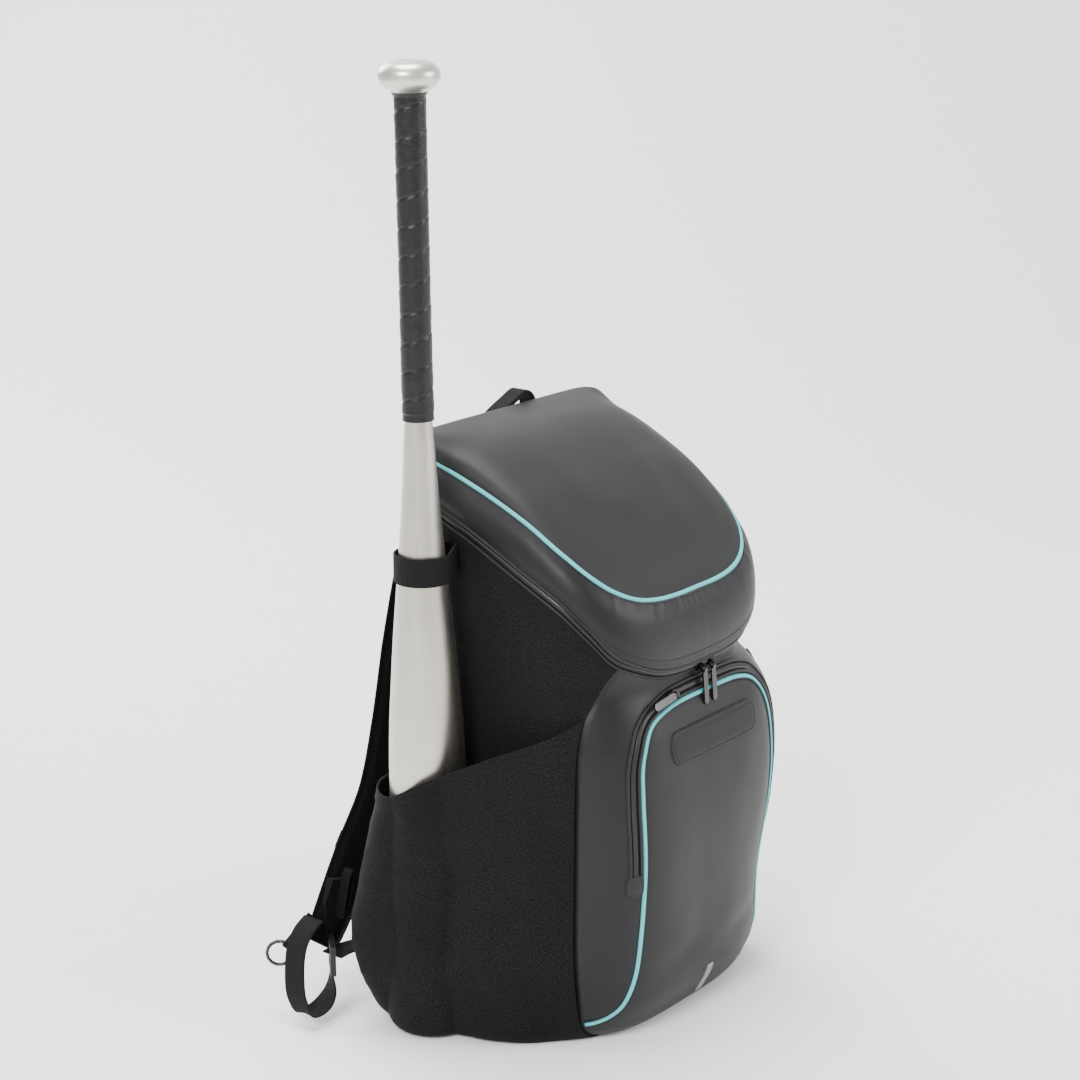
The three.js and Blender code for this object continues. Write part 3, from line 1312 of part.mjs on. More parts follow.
// Bat pieces stand on the pocket's floor and lean as the bat does
const bat = new THREE.Group();
bat.position.set(-BAT_OUT, BAT_BACK, BAT_FOOT);
bat.rotation.set(-degToRad(BAT_TILT_X), -degToRad(BAT_TILT_Y), 0);

const pack = new THREE.Group();
pack.add(bat);

function addPiece(name, solid, material, parent = pack) {
  const mesh = mainBody(solid).getMesh();
  const geometry = new THREE.BufferGeometry();
  geometry.setAttribute('position', new THREE.Float32BufferAttribute(mesh.vertProperties, 3));
  geometry.setIndex(new THREE.Uint32BufferAttribute(mesh.triVerts, 1));
  const piece = new THREE.Mesh(geometry, materials[material]);
  piece.name = name;
  parent.add(piece);
  return piece;
}

// A slider on its tape with a pull that hangs from its bail or lies along the tape
function addSlider(names, { place, outwards, down }, pullTurn) {
  const inwards = outwards.clone().negate();
  const up = down.clone().negate().addScaledVector(outwards, down.dot(outwards)).normalize();
  const seat = new THREE.Group();
  seat.applyMatrix4(new THREE.Matrix4().makeBasis(inwards.clone().cross(up), inwards, up).setPosition(place));
  pack.add(seat);
  addPiece(names.slider, makeSlider(), 'metal', seat);
  const pull = addPiece(names.pull, makePull(), 'metal', seat);
  pull.position.set(0, -SLIDER_DEPTH - BAIL_REACH, 0);
  pull.rotation.x = pullTurn;
}

function addHoodSliders() {
  for (const [side, shift] of [['left', -0.5], ['right', 0.5]]) {
    const seat = hoodTapeSeat(HOOD_SLIDER_MIDDLE + shift * HOOD_SLIDER_SPACING);
    const turn = Math.atan2(seat.outwards.z, -seat.outwards.y);
    const names = { slider: `hood_slider_${side}`, pull: `hood_pull_${side}` };
    addSlider(names, seat, turn - HOOD_PULL_LEAN);
  }
}

function addFrontSlider() {
  addSlider({ slider: 'front_slider', pull: 'front_pull' }, frontTapeSeat(), FRONT_PULL_LIFT);
}

const frontShell = makeFrontShell();
const seamGap = PIPING_RADIUS + CLEARANCE;
addPiece('main_body', makeMainBody(), 'woven');
addPiece('front_gusset', frontShell.subtract(panelSpace(seamGap)), 'coated');
addPiece('front_panel', frontShell.intersect(panelSpace(-seamGap)), 'coated');
addPiece('front_piping', makeFrontPiping(), 'piping');
addPiece('front_zip', makeFrontZip(), 'tape');
addPiece('name_plate', makeNamePlate(), 'rubber');
addPiece('reflective_tab', makeReflectiveTab(), 'reflective');
addPiece('hood_gusset', makeHoodGusset(), 'coated');
addPiece('hood_panel', makeHoodPanel(), 'coated');
addPiece('hood_piping', makeHoodPiping(), 'piping');
const hingeStart = HINGE_ANGLE + HINGE_GAP;
addPiece('hood_zip', lidJoint(-HINGE_ANGLE, HINGE_ANGLE, 2.7 * CLEARANCE), 'tape');
addPiece('hood_hinge', lidJoint(hingeStart, 360 - hingeStart, CLEARANCE), 'coated');
addPiece('back_panel', makeBackPanel(), 'woven');

const fullRoll = {
  side: 1,
  out: BAT_OUT,
  back: BAT_BACK,
  radius: BARREL_RADIUS,
  frontSteps: 6,
  arcSteps: 7,
};
const emptyRoll = {
  side: -1,
  out: EMPTY_POCKET_OUT,
  back: BAT_BACK,
  radius: EMPTY_POCKET_ROLL,
  frontSteps: 5,
  arcSteps: 4,
};
addPiece('side_pocket_left', makeSidePocket(fullRoll), 'woven');
addPiece('side_pocket_right', makeSidePocket(emptyRoll), 'woven');

addPiece('bat_tube', makeBatTube(), 'aluminium', bat);
addPiece('bat_end_cap', makeBatEndCap(), 'plastic', bat);
addPiece('bat_grip', makeBatGrip(), 'leather', bat);
addPiece('bat_knob', makeBatKnob(), 'aluminium', bat);
addPiece('bat_strap', makeBatStrap(), 'webbing');

const strapPieces = {
  shoulder_strap: [makeShoulderStrap(), 'woven'],
  strap_buckle: [makeBuckle(), 'plastic'],
  foot_webbing: [makeFootWebbing(), 'webbing'],
  webbing_tail: [makeTail(), 'webbing'],
  chest_slider: [makeChestSlider(), 'plastic'],
  strap_patch: [makeStrapPatch(), 'webbing'],
  webbing_loop: [makeWebbingLoop(), 'webbing'],
};
for (const [name, [solid, material]] of Object.entries(strapPieces)) {
  addPiece(`${name}_left`, solid, material);
  addPiece(`${name}_right`, mirrored(solid), material);
}
addPiece('accessory_ring', makeRing(), 'metal');
addPiece('ring_tab', makeRingTab(), 'webbing');
addPiece('top_handle', makeTopHandle(), 'webbing');
addHoodSliders();
addFrontSlider();

export default pack;
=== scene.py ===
import bpy
import itertools
import math
import numpy as np
from mathutils import Matrix, Vector


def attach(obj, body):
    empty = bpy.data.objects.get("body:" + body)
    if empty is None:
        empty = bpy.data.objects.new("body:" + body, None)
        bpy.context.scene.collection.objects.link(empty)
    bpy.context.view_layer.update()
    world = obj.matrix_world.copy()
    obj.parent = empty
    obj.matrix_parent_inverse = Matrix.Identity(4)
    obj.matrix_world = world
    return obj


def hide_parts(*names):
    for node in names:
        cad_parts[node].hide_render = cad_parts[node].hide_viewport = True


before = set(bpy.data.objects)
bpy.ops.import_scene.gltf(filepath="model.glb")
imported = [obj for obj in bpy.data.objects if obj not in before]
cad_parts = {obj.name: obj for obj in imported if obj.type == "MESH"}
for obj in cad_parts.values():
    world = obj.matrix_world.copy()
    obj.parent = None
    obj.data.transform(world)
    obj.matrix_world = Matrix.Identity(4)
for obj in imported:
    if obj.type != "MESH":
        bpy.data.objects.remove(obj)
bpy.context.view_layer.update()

# Sizes in millimetres, as in the solids
MM = 0.001
HEIGHT, HALF_WIDTH, FRONT, BACK = 524, 146, 139, 101
CLEARANCE, PAD = 0.3, 12
ZIP_WIDTH, PIPING_RADIUS, PIPING_PROUD = 12, 2, 0.5
BODY_CORNERS, HOOD_CORNERS = (4, 6), (4, 11)
BAT_LENGTH, BARREL, HANDLE, KNOB = 840, 33.35, 11, 25.5
GRIP_LENGTH, KNOB_HEIGHT = 269, 27
TILT_X, TILT_Y = math.radians(0.55), math.radians(0.46)
BAT_DENT, BAT_BACK = 6, 44
BAT_OUT = HALF_WIDTH - BAT_DENT + 2.6 + BARREL
BAT_FOOT = 8 + CLEARANCE + BARREL * math.sin(TILT_X + TILT_Y)
STRAP_WIDTH, STRAP_THICKNESS, STANDOFF = 64, 12, 46
WEBBING, WEBBING_THICKNESS, TAIL_WIDTH = 25, 1.8, 23
TAIL_SPREAD, TAIL_LEAN, TAIL_DROP = 50, 13, 48
BUCKLE_LENGTH, HANDLE_SPREAD, HANDLE_RISE = 33, 76, 66
HINGE_ANGLE = 144
POCKET_WALL, POCKET_SEAM_LIFT, POCKET_ROOM, POCKET_REAR_ANGLE = 2, 0.8, 5.2, 138
SIDE_SEAM_FRONT = 0.626


def table(columns, *rows):
    return {name: np.array([row[i] for row in rows], float) for i, name in enumerate(columns.split())}


BODY = table(
    "height width front back",
    (0, 0.86, 0.755, 0.9), (0.01, 0.91, 0.815, 0.94), (0.027, 0.95, 0.868, 0.97),
    (0.08, 0.985, 0.95, 0.99), (0.2, 1, 0.985, 1), (0.38, 1, 1, 1), (0.515, 1, 0.942, 1),
    (0.569, 0.99, 0.878, 1), (0.615, 0.98, 0.815, 1), (0.66, 0.972, 0.835, 1),
    (0.72, 0.966, 0.868, 1), (1, 0.96, 0.87, 0.99),
)
LID = table(
    "angle zip piping",
    (0, 0.622, 0.752), (15, 0.624, 0.752), (28, 0.632, 0.756), (38, 0.651, 0.766),
    (47, 0.677, 0.786), (55, 0.722, 0.812), (64, 0.763, 0.843), (80, 0.806, 0.887),
    (112, 0.878, 0.943), (131, 0.925, 0.97), (150, 0.94, 0.981), (180, 0.943, 0.985),
)
ROOF = table(
    "back height",
    (-0.8, 0.762), (-0.69, 0.804), (-0.57, 0.838), (-0.37, 0.88), (-0.17, 0.918),
    (0, 0.944), (0.16, 0.966), (0.32, 0.983), (0.49, 0.993), (0.71, 1),
)
HOOD_BAND = table(
    "rise width front back",
    (0, 0.966, 0.885, 1.03), (0.35, 0.966, 0.89, 1.035), (0.7, 0.94, 0.866, 1.03),
    (1, 0.885, 0.81, 1.01),
)
HOOD_PANEL = table(
    "rise width front back",
    (0, 0.885, 0.81, 1.01), (0.34, 0.866, 0.785, 0.995), (0.62, 0.81, 0.735, 0.97),
    (0.86, 0.68, 0.61, 0.86), (1, 0.4, 0.36, 0.55),
)
SIDE_SEAM = table(
    "height front",
    (-0.02, SIDE_SEAM_FRONT), (0.553, SIDE_SEAM_FRONT), (0.6, 0.655), (0.64, 0.72), (0.68, 0.83), (0.73, 1.1),
)
POCKET_SEAM = (
    (0.96, 0.03), (0.865, 0.042), (0.775, 0.07), (0.715, 0.122), (0.692, 0.185), (0.68, 0.3),
    (0.685, 0.44), (0.655, 0.505), (0.56, 0.55), (0.38, 0.57), (0, 0.575),
)
# Dents and swells: side (1 the bat's, -1 the other, 0 both), angle, height, turn, reach, depth
FOLDS = (
    (0, 56, 0.6, 13, 0.07, -0.035), (0, 63, 0.08, 7, 0.06, -0.022), (0, 54, 0.18, 7, 0.1, 0.02),
    (0, 20, 0.13, 16, 0.035, -0.018), (0, 0, 0.3, 26, 0.16, 0.014),
    (-1, 44, 0.17, 26, 0.24, -0.095), (-1, 49, 0.65, 24, 0.12, -0.17),
    (1, 66, 0.66, 8, 0.045, 0.022), (1, 98, 0.74, 12, 0.06, 0.016),
)
POCKET = table(
    "height out back radius fullness room",
    (0, -0.22, 0.82, 0.56, 0.78, 0.7), (0.008, -0.05, 0.86, 0.63, 0.72, 0.92),
    (0.03, 0.14, 0.94, 0.71, 0.56, 1), (0.07, 0.34, 1.04, 0.76, 0.4, 1),
    (0.125, 0.55, 1.14, 0.8, 0.33, 1), (0.18, 0.61, 1.18, 0.8, 0.28, 1),
    (0.24, 0.48, 1.06, 0.82, 0.25, 1), (0.32, 0.3, 0.8, 0.88, 0.24, 1),
    (0.42, 0.08, 0.36, 1, 0.26, 1), (0.51, 0.05, 0.28, 1, 0.3, 1), (0.6, 0.04, 0.24, 1, 0.32, 1),
)
MOUTH = table(
    "back height",
    (-0.66, 0.582), (-0.5, 0.55), (-0.22, 0.516), (0.02, 0.484), (0.2, 0.46), (0.34, 0.437),
    (0.47, 0.424), (0.72, 0.432), (0.95, 0.44),
)
POCKET_FOLDS = (
    (0.22, 0.1, 0.09, 0.15, 0.5, -0.15), (0.42, 0.16, 0.09, 0.15, 0.5, 0.12),
    (0.64, 0.22, 0.08, 0.3, 0.05, -0.1),
)
BAT = table(
    "along barrel handle",
    (0, 0.97, 0), (0.016, 1, 0), (0.27, 1, 0), (0.329, 0.957, 0), (0.364, 0.9, 0),
    (0.4, 0.837, 0), (0.436, 0.763, 0), (0.471, 0.682, 0), (0.506, 0.606, 0),
    (0.545, 0.525, 0), (0.585, 0.45, 0), (0.625, 0.2, 0.58), (0.66, 0, 1.02), (1, 0, 1),
)
KNOB_PROFILE = table(
    "along knob handle",
    (0, 0, 1.15), (0.09, 0.25, 0.85), (0.22, 0.68, 0.3), (0.37, 0.93, 0.05), (0.52, 1, 0),
    (0.7, 0.98, 0), (0.84, 0.88, 0), (0.94, 0.72, 0), (1, 0.48, 0),
)
STRAP = table(
    "index out back height width thickness",
    (0, 0.36, -0.04, 0.885, 0.94, 0.5), (1, 0.37, 0.3, 0.882, 0.96, 0.8),
    (2, 0.375, 0.62, 0.845, 1, 1), (3, 0.44, 0.8, 0.74, 1, 1), (4, 0.54, 0.92, 0.6, 1, 1),
    (5, 0.65, 0.96, 0.45, 1, 1), (6, 0.83, 0.88, 0.335, 0.96, 0.96),
    (7, 1.1, 0.8, 0.245, 0.92, 0.9), (8, 1.3, 0.72, 0.175, 0.88, 0.85),
    (9, 1.43, 0.68, 0.13, 0.78, 0.8), (10, 1.47, 0.67, 0.115, 0.54, 0.6),
)
TAIL = (
    (0.1, -0.67, -1.3), (0.36, -0.52, -1.3), (0.55, -0.26, -1.3), (0.69, 0.26, -1.08),
    (0.76, 0.66, -0.62), (0.69, 0.92, -0.08), (0.4, 0.88, 0.23), (0.19, 0.69, 0.3),
    (0.07, 0.42, 0.15), (0.05, 0.19, 0),
)
HANDLE_ARCH = (
    (-0.5, 0), (-0.5, 0.3), (-0.3, 0.54), (0, 0.74), (0.28, 0.88), (0.5, 0.96),
    (0.64, 0.82), (0.6, 0.42), (0.5, 0),
)
BACK_PAD = table(
    "height padding",
    (0.03, 0.4), (0.05, 0.95), (0.2, 1), (0.3, 0.85), (0.4, 1), (0.56, 1), (0.64, 0.85),
    (0.72, 1), (0.87, 1), (0.9, 0.6),
)


# Curves and noise

def look_up(rows, key, at, column):
    keys, values = rows[key], rows[column]
    last = len(keys) - 1
    at = np.clip(np.asarray(at, float), keys[0], keys[-1])
    order = np.arange(last + 1)
    low, high = np.maximum(order - 1, 0), np.minimum(order + 1, last)
    slopes = (values[high] - values[low]) / (keys[high] - keys[low])
    i = np.clip(np.searchsorted(keys, at, side="right") - 1, 0, last - 1)
    span = keys[i + 1] - keys[i]
    t = (at - keys[i]) / span
    eased = (3 - 2 * t) * t * t * (values[i + 1] - values[i])
    leaving = t * (1 - t) ** 2 * slopes[i] * span
    arriving = t * t * (1 - t) * slopes[i + 1] * span
    return values[i] + eased + leaving - arriving


def bump(distance, reach):
    return np.exp(-2 * (distance / reach) ** 2)


def smooth(x, low, high):
    t = np.clip((np.asarray(x, float) - low) / (high - low), 0, 1)
    return t * t * (3 - 2 * t)


def from_front(degrees):
    turn = np.mod(degrees, 360)
    return np.where(turn > 180, 360 - turn, turn)


def noise(points, size, seed=0):
    """Smooth noise from -1 to 1. Size is one number or one for each axis, in millimetres."""
    at = np.asarray(points, float) / np.asarray(size, float) + 13.7 * (seed + 1)
    cell = np.floor(at)
    part = at - cell
    part = part * part * (3 - 2 * part)
    total = np.zeros(at.shape[:-1])
    for corner in itertools.product((0, 1), repeat=3):
        value = np.sin((cell + corner) @ np.array([127.1, 311.7, 74.7]) + seed) * 43758.5453
        weight = np.prod(np.where(np.array(corner) == 1, part, 1 - part), axis=-1)
        total += weight * (value - np.floor(value))
    return 2 * total - 1


def creases(points, size, seed=0):
    """Sharp ridges between smooth hollows, from 0 to 1."""
    return (1 - np.abs(noise(points, size, seed))) ** 3


def smooth_path(points, pieces):
    """The same curve through points as in the solids."""
    points = np.asarray(points, float)
    last = len(points) - 1
    padded = np.vstack([2 * points[0] - points[1], points, 2 * points[-1] - points[-2]])
    at = np.linspace(0, last, pieces + 1)
    i = np.minimum(np.floor(at).astype(int), last - 1)
    t = (at - i)[:, None]
    p0, p1, p2, p3 = (padded[i + k] for k in range(4))
    steps = (np.linalg.norm(b - a, axis=1)[:, None] for a, b in ((p0, p1), (p1, p2), (p2, p3)))
    gap = [np.maximum(np.sqrt(step), 1e-4) for step in steps]
    t1 = ((p1 - p0) / gap[0] - (p2 - p0) / (gap[0] + gap[1]) + (p2 - p1) / gap[1]) * gap[1]
    t2 = ((p2 - p1) / gap[1] - (p3 - p1) / (gap[1] + gap[2]) + (p3 - p2) / gap[2]) * gap[1]
    return p1 + t1 * t + (-3 * p1 + 3 * p2 - 2 * t1 - t2) * t**2 + (2 * p1 - 2 * p2 + t1 + t2) * t**3


def lengths(points):
    return np.concatenate([[0], np.cumsum(np.linalg.norm(np.diff(points, axis=0), axis=1))])


def even_path(points, pitch):
    """Points resampled at an even pitch along their own line."""
    run = lengths(points)
    at = np.linspace(0, run[-1], max(2, int(round(run[-1] / pitch)) + 1))
    return np.stack([np.interp(at, run, points[:, k]) for k in range(points.shape[1])], axis=1)


def place(points, mirror):
    return points * np.array([-1, 1, 1]) if mirror else points


def unit(vectors):
    return vectors / np.maximum(np.linalg.norm(vectors, axis=-1, keepdims=True), 1e-9)


# The pack's form, as in the solids

def plan_point(half_width, front, back, corners, degrees, grow):
    turn = np.radians(degrees)
    across, along = -np.sin(turn), -np.cos(turn)
    depth = np.where(along < 0, front, back)
    power = corners[0] + (corners[1] - corners[0]) * smooth(along, -0.2, 0.2)
    total = (np.abs(across) / half_width) ** power + (np.abs(along) / depth) ** power
    x, y = across * total ** (-1 / power), along * total ** (-1 / power)
    nx = np.sign(x) * (np.abs(x) / half_width) ** (power - 1) / half_width
    ny = np.sign(y) * (np.abs(y) / depth) ** (power - 1) / depth
    size = np.hypot(nx, ny)
    return x + nx / size * grow, y + ny / size * grow


def fold_depth(degrees, height):
    share = height / HEIGHT
    own = np.where(np.mod(degrees, 360) <= 180, 1, -1)
    depth = 0
    for side, angle, at, turn, reach, amount in FOLDS:
        here = bump(from_front(degrees) - angle, turn) * bump(share - at, reach)
        depth = depth + np.where(own == -side, 0, amount * FRONT * here)
    bat_angle = 90 + math.degrees(math.atan2(BAT_BACK, HALF_WIDTH))
    beside = bump(np.mod(degrees, 360) - bat_angle, 24)
    return depth - 1.25 * BAT_DENT * beside * (1 - smooth(share, 0.5, 0.8))


def body_point(degrees, height, grow=0.0):
    degrees, height = np.broadcast_arrays(np.asarray(degrees, float), np.asarray(height, float))
    share = height / HEIGHT
    x, y = plan_point(
        look_up(BODY, "height", share, "width") * HALF_WIDTH,
        look_up(BODY, "height", share, "front") * FRONT,
        look_up(BODY, "height", share, "back") * BACK,
        BODY_CORNERS, degrees, grow + fold_depth(degrees, height),
    )
    return np.stack([x, y, height], axis=-1)


def lid_line(degrees, column):
    return HEIGHT * look_up(LID, "angle", from_front(degrees), column)


def rim_height(degrees):
    return lid_line(degrees, "zip") - ZIP_WIDTH / 2


def hood_point(degrees, rows, at, panel, inset=0.0):
    """Point of the lid at a share of its rows, from its lower edge inwards."""
    degrees, at = np.broadcast_arrays(np.asarray(degrees, float), np.asarray(at, float))
    numbered = dict(rows, index=np.arange(len(rows["rise"]), dtype=float))
    row = {name: look_up(numbered, "index", at * (len(rows["rise"]) - 1), name) for name in rows}
    x, y = plan_point(
        row["width"] * HALF_WIDTH, row["front"] * FRONT, row["back"] * BACK,
        HOOD_CORNERS, degrees, -inset,
    )
    other = np.mod(degrees, 360) > 180
    size = np.hypot(x, y)
    shrink = 1 - 0.05 * FRONT * bump(from_front(degrees) - 60, 42) / size
    x, y = np.where(other, x * shrink, x), np.where(other, y * shrink, y)
    x = np.where(other, x * (1 - 0.035 * smooth(x, 0, HALF_WIDTH / 2)), x)
    piping = lid_line(degrees, "piping")
    if not panel:
        start = lid_line(degrees, "zip") + ZIP_WIDTH / 2
        return np.stack([x, y, start + (piping - start) * row["rise"]], axis=-1)
    roof = HEIGHT * look_up(ROOF, "back", y / FRONT, "height")
    near_back = smooth(y / BACK, 0.55, 0.92)
    rise = np.where(row["rise"] > 0, row["rise"] + (1 - row["rise"]) * near_back, 0)
    rise = np.where(at > 0, rise, 0)
    return np.stack([x, y, piping + (np.maximum(roof, piping) - piping) * rise], axis=-1)


def angle_where(value_at, value, low, high):
    low, high = np.full(np.shape(value), float(low)), np.full(np.shape(value), float(high))
    for _ in range(30):
        middle = (low + high) / 2
        below = value_at(middle) < value
        low, high = np.where(below, middle, low), np.where(below, high, middle)
    return (low + high) / 2


def seam_angles(shares, side):
    """Angle of the side seam at each share of the rim's height."""
    low, high = np.full(len(shares), 5.0), np.full(len(shares), 120.0)
    for _ in range(40):
        middle = (low + high) / 2
        height = shares * rim_height(side * middle)
        seam = -look_up(SIDE_SEAM, "height", height / HEIGHT, "front") * FRONT
        below = body_point(side * middle, height)[..., 1] < seam
        low, high = np.where(below, middle, low), np.where(below, high, middle)
    return (low + high) / 2


def pocket_seam(grow=0.0, pitch=2.0):
    """The front pocket's seam in front view, from foot to foot over its top."""
    half = [(-out * HALF_WIDTH, height * HEIGHT) for out, height in POCKET_SEAM]
    whole = half + [(-x, z) for x, z in reversed(half[:-1])]
    path = even_path(smooth_path(np.array(whole), 600), pitch)
    run = unit(np.gradient(path, axis=0))
    return path + grow * np.stack([-run[:, 1], run[:, 0]], axis=1)


SEAM_LINE = pocket_seam(0, 2.5)


def seam_distance(x, z):
    """Distance inwards from the front pocket's seam, below zero outside it."""
    flat = np.stack([np.ravel(x), np.ravel(z)], axis=1)
    start, run = SEAM_LINE[:-1], np.diff(SEAM_LINE, axis=0)
    best = np.full(len(flat), 1e9)
    sign = np.ones(len(flat))
    for a, d in zip(start, run):
        t = np.clip(((flat - a) @ d) / (d @ d), 0, 1)
        away = flat - a - t[:, None] * d
        distance = np.hypot(away[:, 0], away[:, 1])
        inside = np.sign(-(d[0] * away[:, 1] - d[1] * away[:, 0]))
        nearer = distance < best
        best, sign = np.where(nearer, distance, best), np.where(nearer, inside, sign)
    return (best * np.where(sign == 0, 1, sign)).reshape(np.shape(x))


def panel_lift(x, z):
    """How far the front's coated cloth stands out round the pocket's seam."""
    inwards = seam_distance(x, z)
    inside = 2.4 * (1 - np.exp(-np.maximum(inwards, 0) / 9)) * smooth(z, 8, 60)
    outside = 0.9 * (1 - np.exp(-np.maximum(-inwards, 0) / 5)) * smooth(z, 8, 40)
    groove = -1.1 * bump(inwards, 3.2)
    return np.where(inwards > 0, inside, outside) + groove


def on_front(x, z, lift=0.0):
    x, z = np.broadcast_arrays(np.asarray(x, float), np.asarray(z, float))
    angle = angle_where(lambda turn: -body_point(turn, z)[..., 0], -x, -80, 80)
    return body_point(angle, z, lift)


# Meshes

def make_mesh(
    name, vertices, quads, uvs=None, material=None, slot=None, replaces=(), face_materials=None,
):
    mesh = bpy.data.meshes.new(name)
    vertices = np.asarray(vertices, float).reshape(-1, 3) * MM
    quads = np.asarray(quads, int)
    mesh.vertices.add(len(vertices))
    mesh.vertices.foreach_set("co", vertices.astype(np.float32).ravel())
    mesh.loops.add(quads.size)
    mesh.loops.foreach_set("vertex_index", quads.ravel().astype(np.int32))
    mesh.polygons.add(len(quads))
    sides = quads.shape[1]
    mesh.polygons.foreach_set("loop_start", np.arange(0, quads.size, sides, dtype=np.int32))
    mesh.polygons.foreach_set("loop_total", np.full(len(quads), sides, dtype=np.int32))
    mesh.update(calc_edges=True)
    if uvs is not None:
        layer = mesh.uv_layers.new(name="UVMap")
        layer.data.foreach_set("uv", np.asarray(uvs, np.float32).ravel())
    mesh.polygons.foreach_set("use_smooth", np.ones(len(quads), dtype=bool))
    piece = bpy.data.objects.new(name, mesh)
    bpy.context.scene.collection.objects.link(piece)
    for one in material if isinstance(material, (list, tuple)) else [material]:
        mesh.materials.append(one)
    if face_materials is not None:
        mesh.polygons.foreach_set("material_index", np.asarray(face_materials, np.int32).ravel())
    mesh.validate()
    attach(piece, "root")
    if replaces:
        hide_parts(*replaces)
    return piece


def grid_faces(rows, columns, closed=False):
    """Faces of a grid of rows and columns. A closed grid joins its last column to its first."""
    wide = columns if closed else columns - 1
    r, c = np.meshgrid(np.arange(rows - 1), np.arange(wide), indexing="ij")
    n = (c + 1) % columns
    low, high = r * columns, (r + 1) * columns
    return np.stack([low + c, low + n, high + n, high + c], axis=-1).reshape(-1, 4)


def grid_uvs(points, closed=False):
    """Texture coordinates in metres along a grid's rows and columns, one for each face corner."""
    rows, columns = points.shape[:2]
    wide = points if not closed else np.concatenate([points, points[:, :1]], axis=1)
    u = np.linalg.norm(np.diff(wide, axis=1), axis=2).mean(axis=0).cumsum()
    v = np.linalg.norm(np.diff(points, axis=0), axis=2).mean(axis=1).cumsum()
    u, v = np.concatenate([[0], u]) * MM, np.concatenate([[0], v]) * MM
    r, c = np.meshgrid(np.arange(rows - 1), np.arange(len(u) - 1), indexing="ij")
    corners = [(u[c], v[r]), (u[c + 1], v[r]), (u[c + 1], v[r + 1]), (u[c], v[r + 1])]
    return np.stack([np.stack(corner, axis=-1) for corner in corners], axis=2).reshape(-1, 2)


def grid_normals(points, closed=False):
    """Outward side of a grid whose columns turn from the front to the bat and whose rows rise."""
    if closed:
        along = np.roll(points, -1, axis=1) - np.roll(points, 1, axis=1)
    else:
        along = np.gradient(points, axis=1)
    return unit(np.cross(np.gradient(points, axis=0), along))


def grid(name, points, closed=False, outward=1, **about):
    rows, columns = points.shape[:2]
    faces = grid_faces(rows, columns, closed)
    uvs = grid_uvs(points, closed).reshape(-1, 4, 2)
    if outward > 0:
        faces, uvs = faces[:, ::-1], uvs[:, ::-1]
    return make_mesh(name, points, faces, uvs.reshape(-1, 2), **about)


def sweep(path, sides, up, outline, sizes=None):
    """Grid of a (side, up) outline carried along a path. Sizes scale it."""
    sizes = np.ones((len(path), 2)) if sizes is None else sizes
    across = outline[None, :, 0] * sizes[:, :1]
    lifted = outline[None, :, 1] * sizes[:, 1:]
    return path[:, None] + sides[:, None] * across[..., None] + up[:, None] * lifted[..., None]


def band_frame(path, hint):
    """Width and face directions of a flat band whose width lies square to its path and a hint."""
    tangent = unit(np.gradient(path, axis=0))
    hint = np.broadcast_to(hint, path.shape)
    side = unit(np.cross(tangent, hint))
    return tangent, side, unit(np.cross(side, tangent))


def flat_outline(width, thickness, steps=10, edge=0.7):
    """Closed outline of woven webbing with rounded edges."""
    half, thin = width / 2, thickness / 2
    turn = np.radians(np.linspace(-90, 90, 7))
    right = np.stack([half - edge + edge * np.cos(turn), thin * np.sin(turn)], axis=1)
    across = np.linspace(half - edge, -half + edge, steps + 2)[1:-1]
    top = np.stack([across, np.full(steps, thin)], axis=1)
    return np.concatenate([right, top, -right, -top])


def capped(points):
    """Closed rows of a swept outline with both ends drawn in to a point."""
    def ring(row, share):
        centre = row.mean(axis=1, keepdims=True)
        return centre + share * (row - centre)

    first, last = points[:1], points[-1:]
    start, end = [ring(first, 0.02), ring(first, 0.96)], [ring(last, 0.96), ring(last, 0.02)]
    return np.concatenate([*start, points, *end])


def webbing(name, path, hint, width=WEBBING, thickness=WEBBING_THICKNESS, **about):
    _, side, up = band_frame(path, hint)
    points = capped(sweep(path, side, up, flat_outline(width, thickness)))
    return grid(name, points, closed=True, outward=1, **about)


def tube(name, path, radius, sides=14, closed=False, **about):
    if closed:
        tangent = unit(np.roll(path, -1, axis=0) - np.roll(path, 1, axis=0))
    else:
        tangent = unit(np.gradient(path, axis=0))
    side = np.zeros_like(path)
    current = np.array([0.3, -1, 0.2])
    for i, run in enumerate(tangent):
        current = current - run * (current @ run)
        current = current / np.linalg.norm(current)
        side[i] = current
    turn = np.radians(np.arange(sides) * 360 / sides)
    outline = radius * np.stack([np.cos(turn), np.sin(turn)], axis=1)
    points = sweep(path, side, np.cross(tangent, side), outline)
    points = np.concatenate([points, points[:1]]) if closed else capped(points)
    return grid(name, points, closed=True, outward=1, **about)


